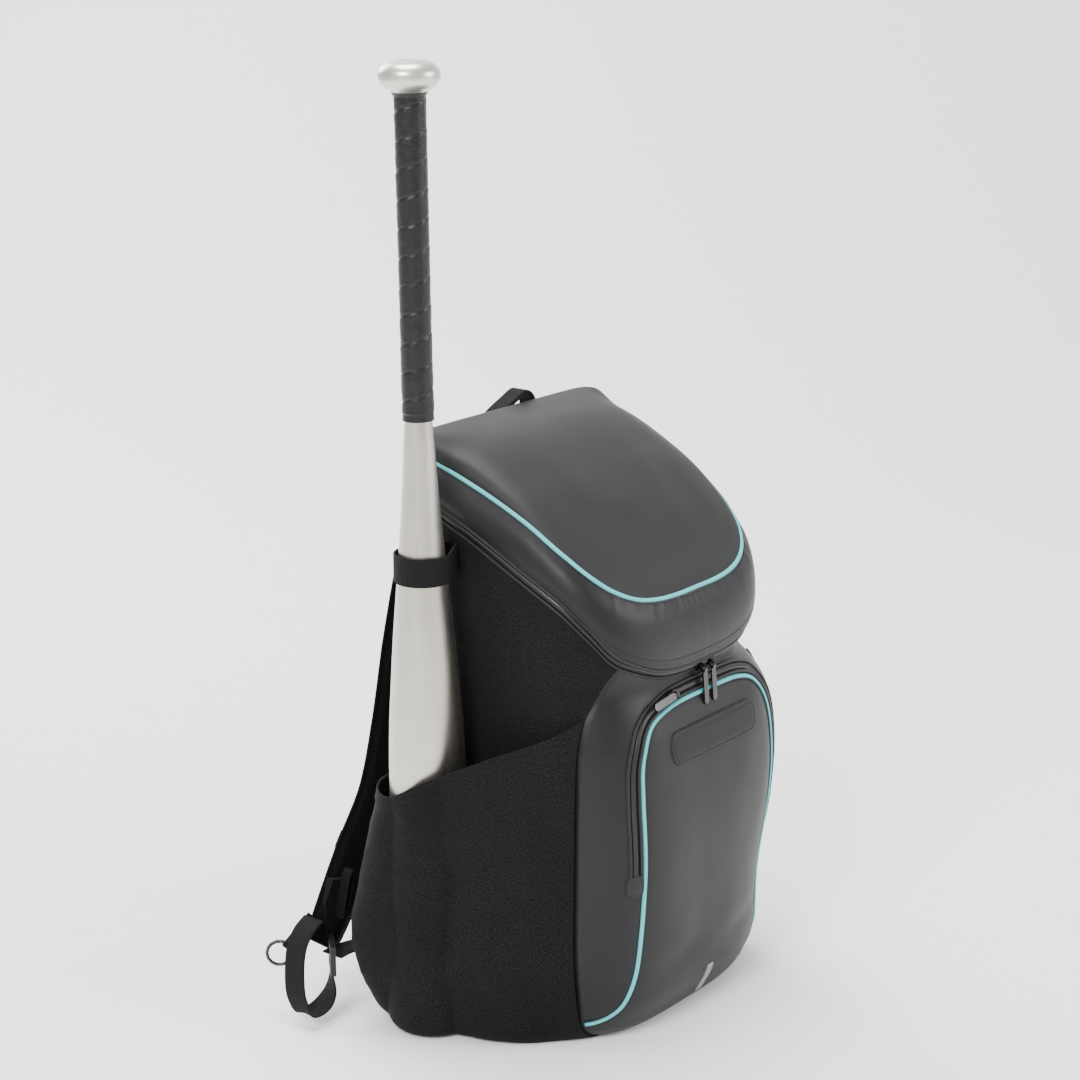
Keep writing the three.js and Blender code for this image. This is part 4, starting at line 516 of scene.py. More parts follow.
def stitches(name, path, normals, material, pitch=3.4, length=2.4, width=0.55, rise=0.3):
    """A line of thread on a surface, one rounded stitch after the other, as one mesh."""
    run = lengths(path)
    count = int(run[-1] // pitch)
    at = (np.arange(count) + 0.5) * pitch
    centre = np.stack([np.interp(at, run, path[:, k]) for k in range(3)], axis=1)
    ahead = np.stack([np.interp(at + 0.5, run, path[:, k]) for k in range(3)], axis=1)
    normal = unit(np.stack([np.interp(at, run, normals[:, k]) for k in range(3)], axis=1))
    along = unit(ahead - centre)
    side = unit(np.cross(along, normal))
    stations = np.array([-0.5, -0.3, 0, 0.3, 0.5])
    high = np.array([-0.3, 0.5, 1, 0.5, -0.3])
    turn = np.radians(np.arange(5) * 72)
    vertices = []
    for share, top in zip(stations, high):
        size = 0.5 * width * (0.45 + 0.55 * (1 - (2 * share) ** 2) ** 0.5)
        for t in turn:
            point = centre + along * share * length + side * math.cos(t) * size
            vertices.append(point + normal * (math.sin(t) * size + rise * top))
    vertices = np.stack(vertices, axis=1)
    faces = grid_faces(5, 5, closed=True)[:, ::-1]
    every = (faces[None] + 25 * np.arange(count)[:, None, None]).reshape(-1, 4)
    return make_mesh(name, vertices.reshape(-1, 3), every, material=material)


# Materials

def new_material(name, color, roughness, metallic=0.0, specular=0.5, sheen=0.0, coat=0.0):
    material = bpy.data.materials.new(name)
    material.use_nodes = True
    shader = material.node_tree.nodes["Principled BSDF"]
    shader.inputs["Base Color"].default_value = (*color, 1)
    shader.inputs["Roughness"].default_value = roughness
    shader.inputs["Metallic"].default_value = metallic
    shader.inputs["Specular IOR Level"].default_value = specular
    shader.inputs["Sheen Weight"].default_value = sheen
    shader.inputs["Sheen Roughness"].default_value = 0.55
    shader.inputs["Coat Weight"].default_value = coat
    shader.inputs["Coat Roughness"].default_value = 0.25
    return material


class Nodes:
    """Short names for building a material's nodes."""

    def __init__(self, material):
        self.tree = material.node_tree
        self.shader = self.tree.nodes["Principled BSDF"]

    def new(self, kind, inputs=None, **settings):
        node = self.tree.nodes.new(kind)
        for key, value in settings.items():
            setattr(node, key, value)
        for key, value in (inputs or {}).items():
            if isinstance(value, bpy.types.NodeSocket):
                self.tree.links.new(value, node.inputs[key])
            else:
                node.inputs[key].default_value = value
        return node

    def link(self, value, name):
        self.tree.links.new(value, self.shader.inputs[name])

    def coordinates(self, scale, kind="Object"):
        source = self.new("ShaderNodeTexCoord").outputs[kind]
        return self.new("ShaderNodeMapping", {"Vector": source, "Scale": scale}).outputs["Vector"]

    def noise(self, vector, scale, detail=3.0, roughness=0.6):
        inputs = {"Vector": vector, "Scale": scale, "Detail": detail, "Roughness": roughness}
        return self.new("ShaderNodeTexNoise", inputs).outputs["Fac"]

    def wave(self, vector, scale, direction="X", distortion=0.0):
        inputs = {"Vector": vector, "Scale": scale, "Distortion": distortion}
        node = self.new("ShaderNodeTexWave", inputs, wave_type="BANDS", bands_direction=direction)
        return node.outputs["Fac"]

    def math(self, operation, a, b=0.0):
        return self.new("ShaderNodeMath", {0: a, 1: b}, operation=operation).outputs[0]

    def ramp(self, value, low, high, from_min=0.0, from_max=1.0):
        span = {"From Min": from_min, "From Max": from_max, "To Min": low, "To Max": high}
        return self.new("ShaderNodeMapRange", {"Value": value, **span}).outputs["Result"]

    def mix(self, factor, a, b):
        node = self.new("ShaderNodeMix", data_type="RGBA")
        for socket, value in ((0, factor), (6, a), (7, b)):
            if isinstance(value, bpy.types.NodeSocket):
                self.tree.links.new(value, node.inputs[socket])
            else:
                node.inputs[socket].default_value = value if socket == 0 else (*value, 1)
        return node.outputs[2]

    def bump(self, height, strength, distance=0.0004, normal=None):
        inputs = {"Height": height, "Strength": strength, "Distance": distance}
        if normal is not None:
            inputs["Normal"] = normal
        return self.new("ShaderNodeBump", inputs).outputs["Normal"]


def woven_material(name, dark, light, thread=1400.0, strength=0.5):
    """Plain weave with threads of uneven darkness."""
    material = new_material(name, dark, 0.88, specular=0.1, sheen=0.015)
    n = Nodes(material)
    warp = n.noise(n.coordinates((thread, thread / 3.2, 1), "UV"), 1.0, 2.0)
    weft = n.noise(n.coordinates((thread / 3.2, thread, 1), "UV"), 1.0, 2.0)
    threads = n.math("MAXIMUM", warp, weft)
    speckle = n.ramp(threads, 0.0, 1.0, 0.46, 0.76)
    cloud = n.noise(n.coordinates((9, 9, 9)), 1.0, 3.0)
    amount = n.math("MULTIPLY", speckle, n.ramp(cloud, 0.55, 1.0, 0.3, 0.7))
    n.link(n.mix(amount, dark, light), "Base Color")
    n.link(n.ramp(threads, 0.95, 0.72, 0.4, 0.7), "Roughness")
    n.link(n.bump(threads, strength, 0.0005), "Normal")
    return material


def coated_material(name, color, roughness, streak=0.0):
    """Coated cloth: matte film over a fine base weave, a little uneven in gloss."""
    material = new_material(name, color, roughness, specular=0.26)
    n = Nodes(material)
    grain = n.noise(n.coordinates((1900, 1900, 1900)), 1.0, 3.0, 0.7)
    weave = n.noise(n.coordinates((1500, 420, 1), "UV"), 1.0, 2.0)
    cloud = n.noise(n.coordinates((7, 7, 7)), 1.0, 4.0)
    tone = n.math("ADD", n.math("MULTIPLY", cloud, 0.5), n.math("MULTIPLY", weave, 0.5))
    darker = tuple(0.86 * c for c in color)
    lighter = tuple(1.16 * c for c in color)
    n.link(n.mix(n.ramp(tone, 0.0, 1.0, 0.35, 0.65), darker, lighter), "Base Color")
    worn = n.math("ADD", n.math("MULTIPLY", cloud, 0.16), n.math("MULTIPLY", grain, 0.1))
    n.link(n.ramp(worn, roughness - 0.05, roughness + 0.07, 0.08, 0.18), "Roughness")
    soft = n.bump(cloud, 0.12 + streak, 0.002)
    n.link(n.bump(grain, 0.16, 0.00025, soft), "Normal")
    return material


def webbing_material(name, dark, light):
    """Ribbed webbing: cords across its width."""
    material = new_material(name, dark, 0.82, specular=0.12, sheen=0.015)
    n = Nodes(material)
    uv = n.coordinates((1, 1, 1), "UV")
    ribs = n.wave(uv, 230.0, "Y")
    cords = n.wave(uv, 480.0, "X")
    thread = n.noise(n.coordinates((1500, 1500, 1500)), 1.0, 2.0)
    height = n.math("ADD", n.math("MULTIPLY", ribs, 0.6), n.math("MULTIPLY", cords, 0.4))
    height = n.math("ADD", height, n.math("MULTIPLY", thread, 0.3))
    n.link(n.mix(n.ramp(height, 0.0, 1.0, 0.3, 1.1), dark, light), "Base Color")
    n.link(n.bump(height, 0.6, 0.0006), "Normal")
    return material


def plain_material(name, color, roughness, scale=400.0, strength=0.08, variation=0.08, **more):
    """Moulded or polished surface with a little unevenness in colour, gloss and relief."""
    material = new_material(name, color, roughness, **more)
    n = Nodes(material)
    fine = n.noise(n.coordinates((scale, scale, scale)), 1.0, 4.0)
    wide = n.noise(n.coordinates((12, 12, 12)), 1.0, 3.0)
    darker, lighter = (tuple((1 + s * variation) * c for c in color) for s in (-1, 1))
    n.link(n.mix(n.ramp(wide, 0.0, 1.0, 0.35, 0.65), darker, lighter), "Base Color")
    smoothest = max(0.02, roughness - variation / 2)
    n.link(n.ramp(fine, smoothest, roughness + variation, 0.35, 0.65), "Roughness")
    n.link(n.bump(fine, strength, 0.0003), "Normal")
    return material


def brushed_material(name, color):
    """Satin aluminium: fine grain round the bat, with faint rub marks along it."""
    material = new_material(name, color, 0.34, metallic=1.0)
    n = Nodes(material)
    grain = n.noise(n.coordinates((900, 900, 260)), 1.0, 4.0, 0.7)
    rubs = n.noise(n.coordinates((60, 60, 9)), 1.0, 4.0, 0.65)
    darker, lighter = (tuple(s * c for c in color) for s in (0.9, 1.06))
    tone = n.math("ADD", n.math("MULTIPLY", grain, 0.45), n.math("MULTIPLY", rubs, 0.55))
    n.link(n.mix(n.ramp(tone, 0.0, 1.0, 0.38, 0.62), darker, lighter), "Base Color")
    n.link(n.ramp(tone, 0.3, 0.42, 0.35, 0.65), "Roughness")
    n.link(n.bump(grain, 0.14, 0.0003), "Normal")
    return material


def grip_material(name, color):
    """Smooth leather-like wrap with fine wrinkles across it."""
    material = new_material(name, color, 0.36, specular=0.3, coat=0.03)
    n = Nodes(material)
    wrinkle = n.noise(n.coordinates((260, 260, 620)), 1.0, 4.0, 0.65)
    pores = n.noise(n.coordinates((1600, 1600, 1600)), 1.0, 2.0)
    height = n.math("ADD", wrinkle, n.math("MULTIPLY", pores, 0.4))
    darker, lighter = (tuple(s * c for c in color) for s in (0.7, 1.5))
    n.link(n.mix(n.ramp(wrinkle, 0.0, 1.0, 0.4, 0.65), darker, lighter), "Base Color")
    n.link(n.ramp(wrinkle, 0.3, 0.48, 0.35, 0.65), "Roughness")
    n.link(n.bump(height, 0.35, 0.0006), "Normal")
    return material


WOVEN = woven_material("woven_cloth", (0.0022, 0.0022, 0.0025), (0.021, 0.0208, 0.022), thread=1650)
PAD_CLOTH = woven_material("pad_cloth", (0.002, 0.002, 0.0022), (0.0095, 0.0095, 0.01), thread=1200)
COATED = coated_material("coated_cloth", (0.0125, 0.0125, 0.013), 0.5)
GUSSET = coated_material("coated_gusset", (0.0078, 0.0075, 0.009), 0.42, streak=0.1)
PIPING = plain_material(
    "piping_cord", (0.085, 0.44, 0.47), 0.5, scale=900, strength=0.2, variation=0.06, specular=0.25,
)
# Painted shade: the piping cord's teal darkened, for the thin dark lines along both sides of the cord
PIPING_SIDE_SHADE = plain_material("piping_side_shade", (0.006, 0.03, 0.034), 0.6, scale=900, strength=0.2)
TAPE = woven_material(
    "zip_tape", (0.0025, 0.0025, 0.0028), (0.009, 0.009, 0.0095), thread=2200, strength=0.7,
)
COIL = plain_material("zip_coil", (0.004, 0.004, 0.0045), 0.34, variation=0.12, specular=0.4)
PLATE = plain_material("plate_rubber", (0.0065, 0.0065, 0.007), 0.5, scale=1500, strength=0.2, specular=0.25)
REFLECTIVE = plain_material(
    "reflective_tape", (0.2, 0.2, 0.197), 0.34, scale=2200, strength=0.3, specular=0.7,
)
STRAP_WEBBING = webbing_material("ribbed_webbing", (0.0028, 0.0028, 0.003), (0.013, 0.013, 0.0135))
NICKEL = plain_material(
    "dark_nickel", (0.075, 0.073, 0.072), 0.17, scale=300, variation=0.12, metallic=1.0,
)
PLASTIC = plain_material(
    "moulded_plastic", (0.0045, 0.0045, 0.005), 0.42, scale=1100, strength=0.12, specular=0.35,
)
ALLOY = brushed_material("brushed_alloy", (0.57, 0.54, 0.475))
KNOB_ALLOY = plain_material("knob_alloy", (0.62, 0.59, 0.52), 0.33, scale=1200, variation=0.08, metallic=1.0)
CAP = plain_material("end_cap", (0.006, 0.006, 0.006), 0.5)
GRIP = grip_material("grip_wrap", (0.006, 0.006, 0.0065))
THREAD = plain_material("thread", (0.009, 0.009, 0.0095), 0.6, scale=2500, strength=0.3, specular=0.2)


# Cloth of the pack

def with_cap(points, middle):
    """Rows of a cloth with its underside closed towards a point on the floor."""
    middle = np.broadcast_to(np.asarray(middle, float), points[:1].shape)
    rows = [middle + share * (points[:1] - middle) for share in (0.02, 0.35, 0.7, 0.93)]
    return np.concatenate([*rows, points])


def body_wrinkles(points, degrees):
    """Soft dents and fine creases of the woven sides, in millimetres outwards."""
    share = points[..., 2] / HEIGHT
    soft = 1.3 * noise(points, (46, 46, 70), 1) + 0.7 * noise(points, (20, 20, 30), 2)
    fine = 0.35 * creases(points, (26, 26, 17), 3)
    near_seam = 1.3 * bump(share - 0.66, 0.06) * creases(points, (18, 18, 40), 4)
    return soft + fine + near_seam - 0.5


def make_body():
    shares = np.concatenate([np.linspace(0, 0.06, 20)[:-1], np.linspace(0.06, 1, 140)])
    left, right = seam_angles(shares, 1), seam_angles(shares, -1)
    across = np.linspace(0, 1, 270)
    degrees = left[:, None] + (360 - right - left)[:, None] * across[None]
    height = shares[:, None] * rim_height(degrees)
    points = body_point(degrees, height)
    normals = grid_normals(points)
    edge = smooth(np.minimum(across, 1 - across), 0, 0.02)[None] * smooth(height, 4, 40)
    edge = edge * smooth(rim_height(degrees) - height, 0, 12)
    points = points + normals * (body_wrinkles(points, degrees) * edge)[..., None]
    points = with_cap(points, (0, -86, 0.6))
    return grid("body_cloth", points, material=WOVEN, slot="woven_body", replaces=["main_body"])


def front_wrinkles(points):
    return 0.8 * noise(points, (52, 52, 80), 11) + 0.4 * noise(points, (24, 24, 34), 12)


def make_front():
    shares = np.concatenate([np.linspace(0, 0.08, 20)[:-1], np.linspace(0.08, 1, 186)])
    left, right = seam_angles(shares, 1), seam_angles(shares, -1)
    across = np.linspace(0, 1, 300)
    degrees = -right[:, None] + (right + left)[:, None] * across[None]
    height = shares[:, None] * rim_height(degrees)
    points = body_point(degrees, height)
    lift = panel_lift(points[..., 0], points[..., 2])
    edge = smooth(np.minimum(across, 1 - across), 0, 0.015)[None] * smooth(height, 0, 20)
    edge = edge * smooth(rim_height(degrees) - height, 0, 8)
    normals = grid_normals(points)
    points = points + normals * ((lift + front_wrinkles(points)) * edge)[..., None]
    inside = seam_distance(points[..., 0], points[..., 2]) > 0
    for name, column in (("right", 3), ("left", -4)):
        stitches(f"side_stitch_{name}", points[25:-5, column], normals[25:-5, column], THREAD)
    points = with_cap(points, (0, -88, 0.6))
    inside = np.concatenate([np.repeat(inside[:1], 4, axis=0), inside])
    faces = (inside[:-1, :-1] * 1).ravel()
    return grid(
        "front_cloth", points, material=[GUSSET, COATED], face_materials=faces,
        slot="coated_panels", replaces=["front_gusset", "front_panel"],
    )


def make_hood():
    degrees = np.linspace(0, 360, 421)[:-1][None]
    rise = np.linspace(0, 1, 60)[:, None]
    band = hood_point(degrees, HOOD_BAND, rise, False)
    normals = grid_normals(band, closed=True)
    soft = 0.5 * noise(band, (50, 50, 40), 21)
    flat = np.stack(np.broadcast_arrays(2.2 * degrees, 20 * rise, 0.0), axis=-1)
    pull = 0.9 * creases(flat, (9, 40, 10), 22)
    gather = pull * smooth(rise, 0.5, 1) * bump(from_front(degrees) - 35, 50)
    edge = smooth(rise, 0, 0.12) * smooth(1 - rise, 0, 0.06)
    band = band + normals * ((soft + gather) * edge)[..., None]
    for name, row in (("low", 7), ("high", -5)):
        line = np.concatenate([band[row], band[row, :1]])
        stitches(f"hood_stitch_{name}", line, np.concatenate([normals[row], normals[row, :1]]), THREAD)
    inner = hood_point(degrees, HOOD_BAND, np.array([[0.0]]), False, 2)
    band = np.concatenate([inner, band])
    cloth = {"closed": True, "slot": "coated_panels"}
    grid("hood_band_cloth", band, material=GUSSET, replaces=["hood_gusset"], **cloth)

    at = np.concatenate([np.linspace(0, 0.97, 80), [1.0]])[:, None]
    roof = hood_point(degrees, HOOD_PANEL, at, True)
    top = roof[-1:].copy()
    rows = []
    for share in (0.8, 0.6, 0.4, 0.2, 0.0005):
        row = top.copy()
        row[..., :2] *= share
        row[..., 2] = HEIGHT * look_up(ROOF, "back", row[..., 1] / FRONT, "height")
        rows.append(row)
    roof = np.concatenate([roof, *rows])
    normals = grid_normals(roof, closed=True)
    soft = 0.6 * noise(roof, (60, 60, 60), 23) + 0.25 * noise(roof, (25, 25, 25), 24)
    depth = np.linspace(0, 1, len(roof))[:, None]
    roof = roof + normals * (soft * smooth(depth, 0, 0.05))[..., None]
    grid("hood_roof_cloth", roof, material=COATED, replaces=["hood_panel"], **cloth)


# Piping and zips

def side_shade_strip(name, path):
    """Strip under a piping that shows as a thin line along both its sides, coloured as painted shade: a
    darkened copy of the cord's teal.
    """
    middle = np.array([0, 0, 0.3 * HEIGHT])
    outward = unit((path - middle) * np.array([1, 1, 0.6]))
    _, side, up = band_frame(path, outward)
    outline = flat_outline(2 * PIPING_RADIUS + 1.5, 1.6, steps=4)
    points = capped(sweep(path - 0.3 * up, side, up, outline))
    grid(name, points, closed=True, material=PIPING_SIDE_SHADE, slot="piping")


def make_piping():
    flat = pocket_seam(0, 1.5)
    path = on_front(flat[:, 0], flat[:, 1], PIPING_PROUD)
    run = look_up(SIDE_SEAM, "height", path[:, 2] / HEIGHT, "front")
    path = path[path[:, 1] < -run * FRONT - 1.5]
    side_shade_strip("front_piping_side_shade", path)
    cord = {"material": PIPING, "slot": "piping"}
    tube("front_piping_cord", path, PIPING_RADIUS, replaces=["front_piping"], **cord)
    degrees = np.linspace(0, 360, 481)[:-1]
    path = hood_point(degrees, HOOD_BAND, np.array(1.0), False, PIPING_PROUD)
    side_shade_strip("hood_piping_side_shade", np.concatenate([path, path[:1]]))
    tube("hood_piping_cord", path, PIPING_RADIUS, closed=True, replaces=["hood_piping"], **cord)


def zip_profile(across, along, teeth=1.7):
    """Lift of tape, coil and lips at a distance from the zip's middle."""
    half = np.abs(across)
    side = np.where(across > 0, 0.5, 0)
    tooth = 0.5 + 0.5 * np.cos(2 * math.pi * (along / teeth + side))
    coil = 1.35 * np.sqrt(np.clip(1 - (half / 2.3) ** 2, 0, 1)) * (0.72 + 0.28 * tooth)
    coil = coil - 0.5 * bump(across, 0.5)
    lip = 1.5 * np.sqrt(np.clip(1 - ((half - 5.2) / 1.5) ** 2, 0, 1))
    return 0.35 + np.where(half < 2.3, coil, 0) + np.where(half > 3.7, lip, 0)


def make_zip(name, middle, side, face, lip_material, **about):
    """A zip along a path: tape with a coil in the middle and a lip of cloth on both sides."""
    half = np.array([0.6, 1.2, 1.9, 2.35, 3.6, 3.9, 4.5, 5.2, 5.9, 6.5, 6.9])
    across = np.concatenate([-half[::-1], [0], half])
    run = lengths(middle)
    lift = zip_profile(across[None], run[:, None])
    lift[:, [0, -1]] = -0.9
    points = middle[:, None] + side[:, None] * across[None, :, None] + face[:, None] * lift[..., None]
    strip = np.abs((across[1:] + across[:-1]) / 2)
    kind = np.select([strip > 3.75, strip < 2.3], [0, 2], 1)
    faces = np.broadcast_to(kind, (len(middle) - 1, len(kind))).ravel()
    return grid(name, points, material=[lip_material, TAPE, COIL], face_materials=faces, **about)


def make_front_zip():
    flat = pocket_seam(PIPING_RADIUS + 2 * CLEARANCE + ZIP_WIDTH / 2, 0.55)
    flat = flat[flat[:, 1] > 0.3 * HEIGHT]
    lift = 0.9
    middle = on_front(flat[:, 0], flat[:, 1], lift)
    run = unit(np.gradient(flat, axis=0))
    beyond = flat + 2 * np.stack([-run[:, 1], run[:, 0]], axis=1)
    side = unit(on_front(beyond[:, 0], beyond[:, 1], lift) - middle)
    outward = unit(np.cross(unit(np.gradient(middle, axis=0)), side))
    outward = outward * np.sign(-outward[:, 1:2])
    make_zip("front_zip_strip", middle, side, outward, COATED, slot="zip_tape", replaces=["front_zip"])


def make_hood_zip():
    degrees = np.linspace(-HINGE_ANGLE, HINGE_ANGLE, 1250)
    low = body_point(degrees, rim_height(degrees), 0)
    high = hood_point(degrees, HOOD_BAND, np.array(0.0), False, 0)
    middle = (low + high) / 2
    side = unit(high - low)
    outward = unit(np.cross(side, unit(np.gradient(middle, axis=0))))
    radial = middle * np.array([1, 1, 0])
    outward = outward * np.sign((outward * radial).sum(axis=1, keepdims=True))
    make_zip("hood_zip_strip", middle, side, outward, COATED, slot="zip_tape", replaces=["hood_zip"])
    degrees = np.linspace(HINGE_ANGLE, 360 - HINGE_ANGLE, 90)
    low = body_point(degrees, rim_height(degrees) - 4, 0.6)
    high = hood_point(degrees, HOOD_BAND, np.array(0.04), False, -0.6)
    steps = np.linspace(0, 1, 8)[:, None, None]
    points = low[None] + (high - low)[None] * steps
    normals = grid_normals(points)
    points = points + normals * (1.2 * np.sin(math.pi * steps[..., 0]))[..., None]
    grid("hood_hinge_cloth", points, material=GUSSET, slot="coated_panels", replaces=["hood_hinge"])


# Side pockets

def pocket_loop(height, roll, inset=0.0, front_steps=90, arc_steps=70):
    """Plan of a side pocket at one height, drawn on the bat's side, as in the solids."""
    share = height / HEIGHT
    at = {name: float(look_up(POCKET, "height", share, name)) for name in POCKET}
    held = np.array([-roll["out"], roll["back"]])
    centre = held + np.array([-at["out"], at["back"]]) * roll["radius"]
    radius = at["radius"] * (roll["radius"] + 3)
    side = roll["side"]
    seam = np.array(-SIDE_SEAM_FRONT * FRONT)
    angle = float(angle_where(lambda turn: body_point(side * turn, height)[..., 1], seam, 20, 120))
    lift = CLEARANCE + POCKET_WALL + POCKET_SEAM_LIFT
    front = body_point(side * angle, height, lift)[:2] * (side, 1)
    rear = body_point(side * POCKET_REAR_ANGLE, height, -POCKET_WALL)[:2] * (side, 1)

    def touch(point, sign):
        away = point - centre
        return math.atan2(away[1], away[0]) + sign * math.acos(min(1, radius / np.hypot(*away)))

    start, end = touch(front, -1), touch(rear, 1)
    sweep_angle = math.radians(math.degrees(start - end) % 360)
    first = centre + radius * np.array([math.cos(start), math.sin(start)])
    run = first - front
    outwards = unit(np.array([-run[1], run[0]]))
    t = np.arange(front_steps) / front_steps
    fold = 0
    for along, high, reach, rise, slope, depth in POCKET_FOLDS:
        fold = fold + depth * bump(t - along - slope * (share - high), reach) * bump(share - high, rise)
    swell = (at["fullness"] * (1.15 - 0.3 * t) + fold) * roll["radius"] * np.sin(math.pi * t)
    flat = front + run * t[:, None] + outwards * swell[:, None]
    turn = start - sweep_angle * np.linspace(0, 1, arc_steps + 1)
    arc = centre + radius * np.stack([np.cos(turn), np.sin(turn)], axis=1)
    back = arc[-1] + (rear - arc[-1]) * np.linspace(0, 1, 14)[1:, None]
    loop = np.concatenate([flat, arc, back])
    away = loop - held
    size = np.hypot(away[:, 0], away[:, 1])
    room = at["room"] * (roll["radius"] + POCKET_WALL + POCKET_ROOM)
    loop = held + away * (np.maximum(size, room) / size)[:, None]
    run = unit(np.gradient(loop, axis=0))
    return loop + inset * np.stack([run[:, 1], -run[:, 0]], axis=1)


def make_pocket(name, roll, node):
    heights = np.concatenate([np.linspace(0, 0.03, 14)[:-1], np.linspace(0.03, 0.6, 190)]) * HEIGHT
    loops = np.stack([pocket_loop(h, roll) for h in heights])
    rows, columns = 118, loops.shape[1]
    mouth = HEIGHT * look_up(MOUTH, "back", loops[..., 1] / FRONT, "height")
    above = heights[:, None] - mouth
    shares = np.concatenate([np.linspace(0, 0.05, 12)[:-1], np.linspace(0.05, 1, rows - 11)])
    points = np.zeros((rows, columns, 3))
    for c in range(columns):
        top = float(np.interp(0, above[:, c], heights))
        at = shares * top
        points[:, c, 0] = np.interp(at, heights, loops[:, c, 0])
        points[:, c, 1] = np.interp(at, heights, loops[:, c, 1])
        points[:, c, 2] = at
    normals = grid_normals(points)
    soft = 1.2 * noise(points, (40, 40, 60), 31) + 0.7 * noise(points, (19, 19, 26), 32)
    fine = 0.9 * creases(points + points[..., 2:] * np.array([0.5, 0.5, 0]), (26, 26, 20), 33)
    down = points[-1:, :, 2] - points[..., 2]
    hem = 0.9 * smooth(13 - down, 0, 1.5)
    groove = -0.5 * bump(down - 12, 1.6)
    edge = smooth(np.arange(columns), 0, 5) * smooth(columns - 1 - np.arange(columns), 0, 10)
    lift = (soft + fine - 0.3) * smooth(down, 0, 30) * smooth(points[..., 2], 3, 30) + hem + groove
    points = points + normals * (lift * edge[None])[..., None]
    sewn = np.arange(7, columns - 15)
    row = np.abs(points[-1, :, 2] - 10 - points[..., 2]).argmin(axis=0)[sewn]
    mirror = roll["side"] < 0
    stitches(f"{name}_hem", place(points[row, sewn], mirror), place(normals[row, sewn], mirror), THREAD)
    points = place(with_cap(points, (-HALF_WIDTH * 0.7, 20, 0.5)), mirror)
    piece = grid(name, points, outward=roll["side"], material=WOVEN, slot="woven_body", replaces=[node])
    wall = piece.modifiers.new("wall", "SOLIDIFY")
    wall.thickness, wall.offset = 1.8 * MM, -1


# Padding and straps

def make_back():
    foot, top, reach = 0.03 * HEIGHT, 0.9 * HEIGHT, 49
    degrees = np.linspace(180 - reach, 180 + reach, 120)[None]
    height = np.linspace(foot, top, 180)[:, None]
    aside = np.abs(degrees - 180)
    padding = look_up(BACK_PAD, "height", height / HEIGHT, "padding") * (1 - 0.3 * bump(aside, 9))
    edge = 0.25 + 0.75 * smooth(reach - aside, 0, 6)
    ends = 0.3 + 0.7 * smooth(np.minimum(height - foot, top - height), 0, 12)
    between = smooth(height, 60, 110) * (1 - smooth(height, 400, 440))
    channels = 1 - 0.55 * bump(aside - 20, 3) * between
    rows = 1 - 0.4 * (bump(height - 158, 7) + bump(height - 335, 7)) * smooth(aside, 6, 12)
    depth = CLEARANCE + PAD * padding * edge * ends * channels * rows
    points = body_point(degrees, height, 0)
    normals = grid_normals(body_point(degrees, height, 6))
    points = points + normals * (depth + 0.35 * noise(points, (18, 18, 22), 41))[..., None]
    rim = body_point(degrees, height, -1)
    points = np.concatenate([rim[:1], points, rim[-1:]])
    sides = np.concatenate([rim[:1], rim, rim[-1:]])
    points = np.concatenate([sides[:, :1], points, sides[:, -1:]], axis=1)
    piece = grid("back_padding", points, material=PAD_CLOTH, slot="woven_pad", replaces=["back_panel"])


def strap_middle():
    index = np.arange(11)
    return np.stack([
        -STRAP["out"][index] * HALF_WIDTH,
        BACK + PAD + CLEARANCE + STRAP["back"][index] * STANDOFF,
        STRAP["height"][index] * HEIGHT,
    ], axis=1)


STRAP_PATH = smooth_path(strap_middle(), 160)
BUCKLE = STRAP_PATH[-1] - np.array([4.5, 18, 3])
Y = np.array([0.0, 1.0, 0.0])
Z = np.array([0.0, 0.0, 1.0])


def strap_outline():
    """Half of a padded strap's section in shares: a crowned middle and a thin bound edge."""
    across = np.sin(np.radians(np.linspace(-90, 90, 41)))
    half = np.abs(across)
    crown = (1 - np.clip(half / 0.86, 0, 1) ** 4) ** 0.5 * 0.78 + 0.22
    crown = crown - 0.16 * bump(half - 0.8, 0.05)
    thin = crown * np.sqrt(np.clip(1 - np.clip((half - 0.96) / 0.04, 0, 1) ** 2, 0, 1))
    top = np.stack([across, thin], axis=1)
    bottom = np.stack([across[::-1], -thin[::-1]], axis=1)
    return np.concatenate([top, bottom[1:-1]])


def make_straps():
    share = np.linspace(0, 10, len(STRAP_PATH))
    sizes = np.stack([
        STRAP_WIDTH / 2 * look_up(STRAP, "index", share, "width"),
        STRAP_THICKNESS / 2 * look_up(STRAP, "index", share, "thickness"),
    ], axis=1)
    _, side, up = band_frame(STRAP_PATH, Y)
    points = capped(sweep(STRAP_PATH, side, up, strap_outline(), sizes))
    for name, mirror in (("left", False), ("right", True)):
        shape = place(points, mirror)
        piece = grid(
            f"strap_padding_{name}", shape, closed=True, outward=-1 if mirror else 1,
            material=PAD_CLOTH, slot="woven_pad", replaces=[f"shoulder_strap_{name}"],
        )
        for k, edge in enumerate((-0.82, 0.82)):
            line = STRAP_PATH + side * (edge * sizes[:, :1]) + up * (0.62 * sizes[:, 1:])
            keep = slice(14, -6)
            stitches(f"strap_stitch_{name}_{k}", place(line[keep], mirror), place(up[keep], mirror), THREAD)


